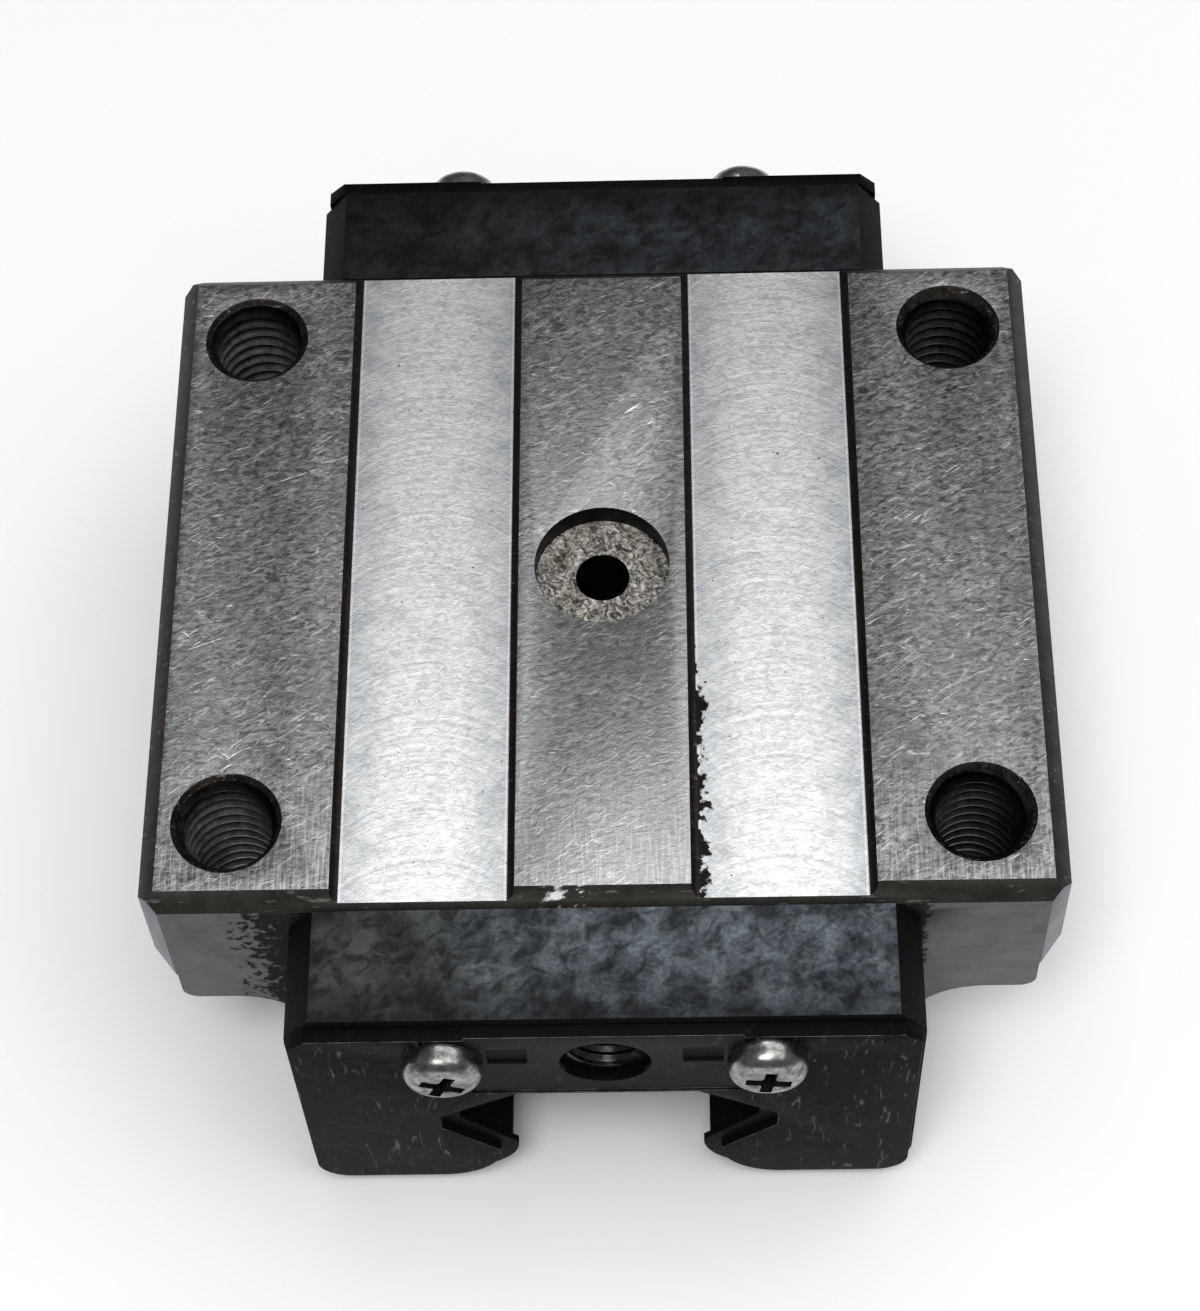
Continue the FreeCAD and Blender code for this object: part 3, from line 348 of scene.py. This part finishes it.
def tapped_thread(crest, root, pitch, bottom, top, wall):
    """A tapped thread about the Z axis: the helical flanks, chamfered at both mouths, and a plain back."""
    # The profile of one turn, as radius and height in pitches, starts below the foot and is swept past
    # the top. Both ends are then cut level, opened to the wall, and joined by the plain back.
    work = bmesh.new()
    steps = 40
    top_cut, foot_cut = 0.1 * MM, 0.05 * MM
    turns = math.ceil((top - bottom) / pitch) + 2
    flank = [(crest, 0.0), (crest, 0.25), (root, 0.5625), (root, 0.6875), (crest, 1.0)]
    verts = [work.verts.new((radius, 0.0, bottom + (height - 1.5) * pitch)) for radius, height in flank]
    edges = [work.edges.new(pair) for pair in zip(verts, verts[1:])]
    bmesh.ops.spin(work, geom=verts + edges, cent=(0, 0, 0), axis=(0, 0, 1), dvec=(0, 0, pitch / steps),
                   angle=2 * math.pi * turns, steps=steps * turns, use_merge=False)
    bmesh.ops.remove_doubles(work, verts=work.verts, dist=2 * WELD)
    for height, way in ((top - top_cut, 1), (bottom + foot_cut, -1)):
        bmesh.ops.bisect_plane(work, geom=work.verts[:] + work.edges[:] + work.faces[:], dist=1e-8,
                               plane_co=(0, 0, height), plane_no=(0, 0, way), clear_outer=True)
    for vert in work.verts:
        radius = math.hypot(vert.co.x, vert.co.y)
        mouth = max(wall + top_cut - (top - vert.co.z), wall + foot_cut - (vert.co.z - bottom))
        if radius < mouth:
            vert.co.xy *= mouth / radius
    rims = [edge for edge in work.edges if edge.is_boundary]
    bmesh.ops.bridge_loops(work, edges=rims)
    bmesh.ops.recalc_face_normals(work, faces=work.faces)
    for face in work.faces:
        face.smooth = True
    return work


def flange_underside(x):
    """Height of the flange's underside, which curves down into the web, at a distance from the middle."""
    inward = max(WEB_SIDE + FLANGE_FILLET - abs(x), 0.0)
    return FLANGE_FOOT - FLANGE_FILLET + math.sqrt(FLANGE_FILLET ** 2 - inward ** 2)


def fillet_normals(mesh):
    """True normals for the round under each flange, and a zero vector where the mesh's own will do."""
    normals = [Vector((0, 0, 0))] * len(mesh.loops)
    for face in mesh.polygons:
        round_x = abs(face.center.x) - WEB_SIDE
        round_z = FLANGE_FOOT - face.center.z
        if 0 < round_x < FLANGE_FILLET and 0 < round_z < FLANGE_FILLET and abs(face.normal.y) < 0.05:
            for loop in face.loop_indices:
                seat = mesh.vertices[mesh.loops[loop].vertex_index].co
                side = math.copysign(WEB_SIDE + FLANGE_FILLET, seat.x)
                rise = FLANGE_FOOT - FLANGE_FILLET - seat.z
                normals[loop] = Vector((side - seat.x, 0, rise)).normalized()
    return normals


body_finishes = {
    "ground": ground_face_finish(),
    "groove": milled_groove_finish(),
    "step": stained_steel_finish("oil_stained_groove_side", "#1c1815", "#2c2723", 0.5, 0.15),
    "chamfer": stained_steel_finish("stained_chamfer_steel", "#2f2d29", "#43413c", 0.5, 0.3, nick=-2.8 * MM),
    "side": side_steel_finish(),
    "corner": stained_steel_finish("milled_corner_steel", "#5b6065", "#71767b", 0.4, 0.2),
    "counterbore": counterbore_finish(),
    # Painted shade: the walls of the counterbore and the oil hole are painted near black.
    "bore": stained_steel_finish("dark_bore_steel", "#0d0b0a", "#1e1a17", 0.45, 0.1),
    "mouth": stained_steel_finish("worn_hole_mouth_steel", "#15120f", "#3b3731", 0.4, 0.7),
    "thread": thread_finish(),
    "race": raceway_finish(),
    "edge": stained_steel_finish("bright_worn_edge_steel", "#8a8a88", "#c9c9c6", 0.35, 0.5),
    "flank": stained_steel_finish("rough_rolled_flank_steel", "#383633", "#52504c", 0.55, 0.2),
}
FINISH = {name: index for index, name in enumerate(body_finishes)}

# Limits that tell faces and edges apart. None is a size of the block: each falls clear of what it sorts.
COUNTERBORE_LIMIT = TOP - 2.1 * MM
OIL_HOLE_LIMIT = 17.0 * MM
CHAMFER_LIMIT = TOP - 1.4 * MM
STEP_LIMIT = 21.0 * MM
CORNER_LIMIT = 30.0 * MM
FLANK_LIMIT = 33.0 * MM
RACE_LIMITS = (13.5 * MM, 18.5 * MM)
WEB_LIMIT = WEB_SIDE + 0.5 * MM
HOLE_FOOT_LIMIT = FLANGE_FOOT + 1.0 * MM
NEAR = 0.05 * MM
ROUGHLY = 0.1 * MM
EDGE_ANGLE = math.radians(30)

# The tapping bores are opened to the wall behind their threads.
body = opened("carriage_body")
for vert in body.verts:
    for x, y in FLANGE_HOLES:
        arm = Vector((vert.co.x - x, vert.co.y - y))
        if abs(arm.length - TAPPING_BORE) < NEAR:
            at_top = vert.co.z > HOLE_FOOT_LIMIT
            arm *= (THREAD_WALL if at_top else HOLE_FOOT) / arm.length
            vert.co.xy = (x + arm.x, y + arm.y)
            vert.co.z = TOP - (HOLE_MOUTH - THREAD_WALL) if at_top else flange_underside(vert.co.x)
body.normal_update()
for face in body.faces:
    middle, normal = face.calc_center_median(), face.normal
    from_middle, height = abs(middle.x), middle.z
    from_oil_hole = math.hypot(middle.x, middle.y)
    from_hole = min(math.hypot(middle.x - x, middle.y - y) for x, y in FLANGE_HOLES)
    level = normal.z > 0.99
    mitred = abs(normal.z) < 0.1 and abs(abs(normal.x) - math.sqrt(0.5)) < 0.1
    kind = "side"
    if level and height > TOP - ROUGHLY:
        kind = "ground"
    elif level and abs(height - GROOVE_FLOOR) < NEAR:
        kind = "groove"
    elif from_oil_hole < COUNTERBORE and height > COUNTERBORE_LIMIT:
        kind = "counterbore" if normal.z > 0.5 else "bore"
    elif from_oil_hole < OIL_HOLE + NEAR and height > OIL_HOLE_LIMIT:
        kind = "bore"
    elif from_hole < HOLE_MOUTH and height > FLANGE_FOOT:
        kind = "mouth"
    elif height > GROOVE_FLOOR and abs(normal.y) < 0.1 and from_middle < STEP_LIMIT:
        kind = "step"
    elif height > CHAMFER_LIMIT and normal.z > 0.5:
        kind = "chamfer"
    elif mitred and from_middle > CORNER_LIMIT:
        kind = "corner"
    elif from_middle < RACE_LIMITS[0] and height < RACE_LIMITS[1] and abs(normal.y) < 0.5:
        kind = "race"
    elif from_middle > FLANK_LIMIT and height < LAND_FOOT and abs(normal.y) < 0.5:
        kind = "flank"
    rounded = abs(normal.y) < 0.05 and 0.05 < abs(normal.z) < 0.97 and kind in ("side", "flank")
    face.material_index = FINISH[kind]
    face.smooth = rounded or len(face.verts) == 4 and kind in ("bore", "mouth", "race", "step")

outer_edges = []
for edge in body.edges:
    middle = (edge.verts[0].co + edge.verts[1].co) / 2
    kinds = {face.material_index for face in edge.link_faces}
    on_top = kinds & {FINISH["ground"], FINISH["chamfer"]}
    from_hole = min(math.hypot(middle.x - x, middle.y - y) for x, y in FLANGE_HOLES)
    outside = abs(middle.x) > WEB_LIMIT and from_hole > HOLE_MOUTH + ROUGHLY
    if edge.calc_face_angle(0) > EDGE_ANGLE and (on_top or outside):
        outer_edges.append(edge)
bmesh.ops.bevel(body, geom=outer_edges, offset=EDGE_BREAK, offset_type="OFFSET", segments=2, profile=0.5,
                affect="EDGES", clamp_overlap=True, material=FINISH["edge"])

thread = tapped_thread(TAPPING_BORE, THREAD_ROOT, THREAD_PITCH, FLANGE_FOOT, TOP,
                       THREAD_WALL + THREAD_LAP)
for face in thread.faces:
    face.material_index = FINISH["thread"]
thread_mesh = bpy.data.meshes.new("m8_thread")
thread.to_mesh(thread_mesh)
thread.free()
for number, (x, y) in enumerate(FLANGE_HOLES):
    turned = thread_mesh.copy()
    turned.transform(Matrix.Translation((x, y, 0)) @ Matrix.Rotation(number * THREAD_TURN, 4, "Z"))
    body.from_mesh(turned)
    bpy.data.meshes.remove(turned)
bpy.data.meshes.remove(thread_mesh)

closed(body, "ground_steel_body", body_finishes.values(), "carriage_body", fillet_normals)

# ------------------------------------------------------------------ balls and their guides
# The balls are 3/16 inch bearing balls, lapped to a mirror. The half-round guides that turn them back in
# the end caps and the strips that hold them when the rail is out are moulded in black acetal.


def ball_finish():
    # Lapped chrome steel: a near mirror, faintly clouded by the film of grease on it.
    material, tree, shader, place = finish_of("lapped_ball_steel")
    film = spots(tree, place, 1.5, 0.35, 0.65)
    steel = mixed(tree, film, tint("#b9bbbd"), tint("#d6d7d8"))
    rough = add(tree, "MapRange", {"Value": film, "To Min": 0.08, "To Max": 0.2})
    wire(shader, {"Base Color": steel, "Metallic": 1.0, "Roughness": rough})
    return material


def acetal_finish():
    # Moulded acetal, black with a soft waxy sheen.
    material, tree, shader, place = finish_of("moulded_black_acetal")
    film = spots(tree, place, 1.2, 0.35, 0.65, detail=4)
    plastic = mixed(tree, film, tint("#161616"), tint("#222221"))
    relief = add(tree, "Bump", {"Height": film, "Strength": 0.15, "Distance": 0.02 * MM})
    wire(shader, {"Base Color": plastic, "Roughness": 0.4, "IOR": 1.48, "Normal": relief})
    return material


ball_steel, acetal = ball_finish(), acetal_finish()
for name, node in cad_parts.items():
    if name.endswith(("_balls", "_guide", "_retainer")):
        for held in node.material_slots:
            held.material = ball_steel if name.endswith("_balls") else acetal

# ------------------------------------------------------------------ end caps
# Each end cap is moulded in black glass-filled nylon. It turns the balls back, is tapped M6 for the grease
# nipple, and two screws clamp it to the body. Dried grease dusts the front cap grey; the rear one is clean.

CAP_EDGE = 0.15 * MM
CAP_HALF_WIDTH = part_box("front_end_cap")[1].x
CAP_LENGTH = 9.3 * MM
CAP_RIM_ZONE = 3.0 * MM
CAP_SHORTEST_RIM = 2.0 * MM
CAP_EDGE_ANGLE = math.radians(25)
PORT_HEIGHT = TOP - 6.3 * MM
PORT_BORE = 2.6 * MM
PORT_ROOT = 3.0 * MM
PORT_WALL = 3.06 * MM
PORT_PITCH = 0.75 * MM


def nylon_finish(name, dust):
    # Glass-filled nylon: near black, dull, slightly grainy, with a bluish bloom of dried grease and
    # dust on what faces up, browner towards the left, and veined with clean black.
    material, tree, shader, place = finish_of(name)
    up = add(tree, "SeparateXYZ", {"Vector": add(tree, "NewGeometry", out="True Normal")}, out="Z")
    x = add(tree, "SeparateXYZ", {"Vector": place}, out="X")
    facing_up = add(tree, "MapRange", {"Value": up, "From Min": 0.9, "From Max": 0.98})
    grain = spots(tree, place, 0.35, 0.3, 0.7, detail=4)
    cloud = spots(tree, place, 3.4, 0.36, 0.62, detail=8, shift=0.03)
    veins = spots(tree, place, 1.2, 0.44, 0.62, stretch=(1.3, 1.0, 1.0), turn=35, detail=9, shift=0.08,
                  twist=0.7)
    leftward = add(tree, "MapRange", {"Value": x, "From Min": 2 * MM, "From Max": -18 * MM})
    nylon = mixed(tree, grain, tint("#030303"), tint("#090908"))
    film = mixed(tree, leftward, tint("#747d85"), tint("#4a4a45"))
    film = mixed(tree, calc(tree, "MULTIPLY", grain, 0.7), film, tint("#3a3f42"))
    outward = calc(tree, "ABSOLUTE", add(tree, "SeparateXYZ", {"Vector": place}, out="Y"))
    wiped = add(tree, "MapRange", {"Value": outward, "From Min": BODY_END + 5.5 * MM,
                                   "From Max": BODY_END + 8.5 * MM, "To Min": 1.0, "To Max": 0.4})
    bloom = calc(tree, "MULTIPLY", calc(tree, "MULTIPLY_ADD", cloud, 0.8, 0.2), facing_up)
    bloom = calc(tree, "MULTIPLY", bloom, calc(tree, "MULTIPLY_ADD", veins, -0.7, 1.0))
    bloom = calc(tree, "MULTIPLY", bloom, wiped)
    nylon = mixed(tree, calc(tree, "MULTIPLY", bloom, dust), nylon, film)
    relief = add(tree, "Bump", {"Height": calc(tree, "ADD", grain, bloom), "Strength": 0.4,
                                "Distance": 0.04 * MM})
    wire(shader, {"Base Color": nylon, "Roughness": 0.6, "IOR": 1.53, "Specular IOR Level": 0.08,
                  "Normal": relief})
    return material


def greased_port_finish():
    # The tapped thread of the grease port, black and wet with grease.
    material, tree, shader, place = finish_of("greased_port_thread")
    film = spots(tree, place, 0.6, 0.35, 0.65, detail=4)
    plastic = mixed(tree, film, tint("#060606"), tint("#151413"))
    rough = add(tree, "MapRange", {"Value": film, "To Min": 0.18, "To Max": 0.4})
    wire(shader, {"Base Color": plastic, "Roughness": rough, "IOR": 1.5})
    return material


greased_port = greased_port_finish()
port_thread = tapped_thread(PORT_BORE, PORT_ROOT, PORT_PITCH, 0.0, CAP_LENGTH, PORT_WALL)
port_thread_mesh = bpy.data.meshes.new("m6_thread")
port_thread.to_mesh(port_thread_mesh)
port_thread.free()
for end, dust, way in (("front", 1.0, -1), ("rear", 0.22, 1)):
    cap = opened(end + "_end_cap")
    cap_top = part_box(end + "_end_cap")[1].z
    for vert in cap.verts:
        arm = Vector((vert.co.x, vert.co.z - PORT_HEIGHT))
        if abs(arm.length - PORT_BORE) < NEAR:
            arm *= PORT_WALL / arm.length
            vert.co.x, vert.co.z = arm.x, PORT_HEIGHT + arm.y
    rims = []
    for edge in cap.edges:
        middle = (edge.verts[0].co + edge.verts[1].co) / 2
        outer = abs(abs(middle.x) - CAP_HALF_WIDTH) < ROUGHLY or middle.z > cap_top - CAP_RIM_ZONE
        clear_of_body = abs(middle.y - way * BODY_END) > ROUGHLY
        long_and_sharp = edge.calc_length() > CAP_SHORTEST_RIM and edge.calc_face_angle(0) > CAP_EDGE_ANGLE
        if outer and clear_of_body and long_and_sharp:
            rims.append(edge)
    bmesh.ops.bevel(cap, geom=rims, offset=CAP_EDGE, offset_type="OFFSET", segments=2, profile=0.5,
                    affect="EDGES", clamp_overlap=True, material=-1)
    placed = port_thread_mesh.copy()
    placed.transform(Matrix.Translation((0, way * BODY_END, PORT_HEIGHT))
                     @ Matrix.Rotation(math.radians(-90 * way), 4, "X"))
    placed.polygons.foreach_set("material_index", [1] * len(placed.polygons))
    cap.from_mesh(placed)
    bpy.data.meshes.remove(placed)
    closed(cap, end + "_nylon_cap", [nylon_finish(end + "_glass_filled_nylon", dust), greased_port],
           end + "_end_cap")
bpy.data.meshes.remove(port_thread_mesh)

# ------------------------------------------------------------------ end seals
# The seals are moulded nitrile rubber plates, held on the caps by the screws. A thin lip wipes the rail, and
# a panel between the screws is sunk round the grease port, with a shallow pocket on each side of it.

SEAL_EDGE = 0.12 * MM
SEAL_EDGE_ZONE = 0.3 * MM
HIGHLIGHT_LOW_BAND = 0.2 * MM
HIGHLIGHT_TOP_BAND = 0.4 * MM
SEAL_FACE = BODY_END + 10.5 * MM
LIP_FACE = SEAL_FACE - 0.7 * MM
RAIL_TOP = 16.2 * MM
PANEL_HALF = 10.3 * MM
PANEL_FOOT = RAIL_TOP + 1.7 * MM
POCKET = (5.8 * MM, 8.8 * MM)


def rubber_finish():
    # Nitrile rubber, nearly black, with pale scuffs where it has been handled. The sunken panel round
    # the port is smoother and browner. The top faces, the pockets and the lip are painted black: painted
    # shade, partly old oil.
    material, tree, shader, place = finish_of("moulded_nitrile_rubber")
    x, y, z = (add(tree, "SeparateXYZ", {"Vector": place}, out=axis) for axis in "XYZ")
    up = add(tree, "SeparateXYZ", {"Vector": add(tree, "NewGeometry", out="True Normal")}, out="Z")
    sideways, depth = calc(tree, "ABSOLUTE", x), calc(tree, "ABSOLUTE", y)
    grain = spots(tree, place, 0.3, 0.3, 0.7, detail=3)
    cloud = spots(tree, place, 3.0, 0.36, 0.64, detail=7, shift=0.02)
    scuffs = spots(tree, place, 0.55, 0.6, 0.76, stretch=(1.0, 1.0, 6.0), detail=4, shift=0.05,
                   twist=1.0)
    rubs = spots(tree, place, 1.6, 0.54, 0.7, stretch=(1.6, 1.0, 1.0), detail=8, shift=0.09, twist=1.0)
    rubber = mixed(tree, cloud, tint("#020202"), tint("#0b0b0a"))
    rubber = mixed(tree, calc(tree, "MULTIPLY", scuffs, 0.8), rubber, tint("#78746e"))
    rubber = mixed(tree, calc(tree, "MULTIPLY", rubs, 0.4), rubber, tint("#34332f"))
    panel = calc(tree, "MULTIPLY", calc(tree, "LESS_THAN", sideways, PANEL_HALF),
                 calc(tree, "GREATER_THAN", z, PANEL_FOOT))
    rubber = mixed(tree, calc(tree, "MULTIPLY", panel, 0.8), rubber, tint("#292724"))
    pockets = calc(tree, "COMPARE", sideways, sum(POCKET) / 2, (POCKET[1] - POCKET[0]) / 2)
    pockets = calc(tree, "MULTIPLY", pockets,
                   calc(tree, "LESS_THAN", depth, SEAL_FACE - SEAL_EDGE_ZONE))
    # Painted shade, partly old oil: the top faces, the pockets and the sunken lip are painted black.
    oiled = calc(tree, "MAXIMUM", calc(tree, "GREATER_THAN", up, 0.5),
                 calc(tree, "MAXIMUM", pockets, calc(tree, "LESS_THAN", depth, LIP_FACE + 0.1 * MM)))
    rubber = mixed(tree, calc(tree, "MULTIPLY", oiled, 0.92), rubber, tint("#040404"))
    relief = add(tree, "Bump", {"Height": calc(tree, "ADD", grain, scuffs), "Strength": 0.3,
                                "Distance": 0.03 * MM})
    wire(shader, {"Base Color": rubber, "Roughness": 0.55, "IOR": 1.52, "Specular IOR Level": 0.05,
                  "Normal": relief})
    return material


def painted_seal_edge_highlight_finish():
    # The seal's front edges, painted pale in patches: a painted highlight along the edges.
    material, tree, shader, place = finish_of("painted_rubber_edge_highlight")
    highlight_patches = spots(tree, place, 1.4, 0.36, 0.58, detail=6)
    rubber = mixed(tree, highlight_patches, tint("#1b1a18"), tint("#a09d97"))
    wire(shader, {"Base Color": rubber, "Roughness": 0.5, "IOR": 1.52, "Specular IOR Level": 0.3})
    return material


rubber, painted_seal_edge_highlight = rubber_finish(), painted_seal_edge_highlight_finish()
for end in ("front", "rear"):
    seal = opened(end + "_end_seal")
    seal_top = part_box(end + "_end_seal")[1].z
    rims = [edge for edge in seal.edges if edge.calc_face_angle(0) > EDGE_ANGLE]
    bevelled = bmesh.ops.bevel(seal, geom=rims, offset=SEAL_EDGE, offset_type="OFFSET", segments=2,
                               profile=0.5, affect="EDGES", clamp_overlap=True, material=-1)
    # Painted highlight: bevel faces along the seal's top and lower front edges take the pale edge finish.
    for face in bevelled["faces"]:
        middle = face.calc_center_median()
        low_or_top = middle.z < PANEL_FOOT + HIGHLIGHT_LOW_BAND or middle.z > seal_top - HIGHLIGHT_TOP_BAND
        if low_or_top and abs(middle.y) > SEAL_FACE - SEAL_EDGE_ZONE:
            face.material_index = 1
    closed(seal, end + "_rubber_seal", [rubber, painted_seal_edge_highlight], end + "_end_seal")

# ------------------------------------------------------------------ cap screws
# Four M3 pan-head screws, nickel plated, clamp the seals and caps to the body. Their cross recesses have
# rounded wings, are painted black as shade, and stand as the screwdriver left them.

SCREW_ACROSS = 12.05 * MM
SCREW_HEIGHT = TOP - 5.0 * MM
HEAD_FACE = SEAL_FACE + 2.2 * MM
RECESS_REACH = 1.75 * MM
RECESS_FLOOR = HEAD_FACE - 1.3 * MM
WING_ROUND = 0.3 * MM
# A wing's edge runs in from above the second of these depths to below the first.
WING_LIMITS = (HEAD_FACE - 1.0 * MM, HEAD_FACE - 0.5 * MM)


def plated_screw_finish():
    # Bright nickel plate on steel, dulled here and there by a film of oil and dirt.
    material, tree, shader, place = finish_of("nickel_plated_screw_steel")
    film = spots(tree, place, 0.7, 0.35, 0.65, detail=6)
    dirt = spots(tree, place, 0.35, 0.58, 0.68, detail=4, shift=0.04)
    steel = mixed(tree, film, tint("#62615f"), tint("#a6a5a2"))
    steel = mixed(tree, calc(tree, "MULTIPLY", dirt, 0.6), steel, tint("#3c3833"))
    rough = add(tree, "MapRange", {"Value": film, "To Min": 0.34, "To Max": 0.2})
    relief = add(tree, "Bump", {"Height": film, "Strength": 0.15, "Distance": 0.03 * MM})
    wire(shader, {"Base Color": steel, "Metallic": 1.0, "Roughness": rough, "Normal": relief})
    return material


def painted_recess_shade_finish():
    # The screw's recess, painted black and dull: a painted shade.
    material, tree, shader, place = finish_of("painted_screw_recess_shade")
    dirt = spots(tree, place, 0.4, 0.3, 0.7, detail=4)
    grease = mixed(tree, dirt, tint("#030303"), tint("#0e0d0c"))
    wire(shader, {"Base Color": grease, "Roughness": 0.6, "Specular IOR Level": 0.1})
    return material


plated, painted_recess_shade = plated_screw_finish(), painted_recess_shade_finish()
for end, way, side, hand, turned in (("front", -1, -1, "left", 24), ("front", -1, 1, "right", 8),
                                     ("rear", 1, -1, "left", 51), ("rear", 1, 1, "right", 67)):
    node = f"{end}_{hand}_cap_screw"
    screw = opened(node)
    axis = Vector((side * SCREW_ACROSS, 0, SCREW_HEIGHT))
    bmesh.ops.rotate(screw, verts=screw.verts, cent=axis,
                     matrix=Matrix.Rotation(math.radians(turned), 3, "Y"))
    wings = []
    for edge in screw.edges:
        depths = [abs(vert.co.y) for vert in edge.verts]
        middle = (edge.verts[0].co + edge.verts[1].co) / 2 - axis
        from_axis = math.hypot(middle.x, middle.z)
        runs_in = min(depths) < WING_LIMITS[0] and max(depths) > WING_LIMITS[1]
        if runs_in and from_axis < RECESS_REACH:
            wings.append(edge)
    bmesh.ops.bevel(screw, geom=wings, offset=WING_ROUND, offset_type="OFFSET", segments=3, profile=0.5,
                    affect="EDGES", clamp_overlap=True, material=-1)
    for face in screw.faces:
        middle = face.calc_center_median() - axis
        depth = abs(middle.y)
        in_recess = math.hypot(middle.x, middle.z) < RECESS_REACH and depth > RECESS_FLOOR - ROUGHLY
        # Painted shade: the faces inside the cross recess take the black recess finish.
        if in_recess and depth < HEAD_FACE - NEAR:
            face.material_index = 1
        face.smooth = abs(face.normal.y) < 0.99
    closed(screw, f"{end}_{hand}_plated_screw", [plated, painted_recess_shade], node)

# ------------------------------------------------------------------ floor, light and camera
# A matt white studio table. A large softbox hangs over it, a little to the right, and a smaller one in
# front and to the left. A pale surround fills the shadows.

TABLE_HALF = 2.0
TABLE_GAP = 0.02 * MM


def table_finish():
    # A matt white top that gives an almost even tone.
    material, tree, shader, place = finish_of("white_table")
    cloud = spots(tree, place, 400.0, 0.3, 0.7)
    white = mixed(tree, cloud, tint("#f7f7f7"), tint("#fafafa"))
    wire(shader, {"Base Color": white, "Roughness": 0.9, "Specular IOR Level": 0.1})
    return material


table = bmesh.new()
bmesh.ops.create_grid(table, x_segments=1, y_segments=1, size=TABLE_HALF,
                      matrix=Matrix.Translation((0, 0, -TABLE_GAP)))
table_mesh = bpy.data.meshes.new("studio_table")
table.to_mesh(table_mesh)
table.free()
table_mesh.materials.append(table_finish())
studio_table = bpy.data.objects.new("studio_table", table_mesh)
bpy.context.scene.collection.objects.link(studio_table)

world = bpy.data.worlds.new("studio")
world.use_nodes = True
wire(world.node_tree.nodes["Background"], {"Color": tint("#f2f4f7"), "Strength": 0.22})
bpy.context.scene.world = world
bpy.context.scene.view_settings.view_transform = "Standard"

for name, size, power, seat in (("overhead_softbox", 1.3, 9.6, (0.28, 0.0, 1.1)),
                                ("front_key", 0.5, 6.5, (-0.15, -0.5, 1.15))):
    lamp = bpy.data.lights.new(name, "AREA")
    lamp.shape = "SQUARE"
    lamp.size = size
    lamp.energy = power
    light = bpy.data.objects.new(name, lamp)
    bpy.context.scene.collection.objects.link(light)
    light.location = seat
    light.rotation_euler = Vector(seat).to_track_quat("Z", "Y").to_euler()

# The camera looks down on the front of the block, a little from its right and turned in its own plane.
AZIMUTH, ELEVATION, ROLL = math.radians(2.86), math.radians(59.385), math.radians(-3.418)
DISTANCE = 250.72 * MM
AIM = Vector((-0.164 * MM, -8.365 * MM, TOP))
lens = bpy.data.cameras.new("studio_camera")
lens.sensor_fit = "VERTICAL"
lens.sensor_height = 36.0
lens.lens = 88.68
back = Vector((math.sin(AZIMUTH) * math.cos(ELEVATION), -math.cos(AZIMUTH) * math.cos(ELEVATION),
               math.sin(ELEVATION)))
level = Vector((math.cos(AZIMUTH), math.sin(AZIMUTH), 0.0))
rising = back.cross(level)
right = math.cos(ROLL) * level + math.sin(ROLL) * rising
upward = back.cross(right)
camera = bpy.data.objects.new("studio_camera", lens)
bpy.context.scene.collection.objects.link(camera)
camera.matrix_world = Matrix((right, upward, back)).transposed().to_4x4()
camera.location = AIM + DISTANCE * back
bpy.context.scene.camera = camera
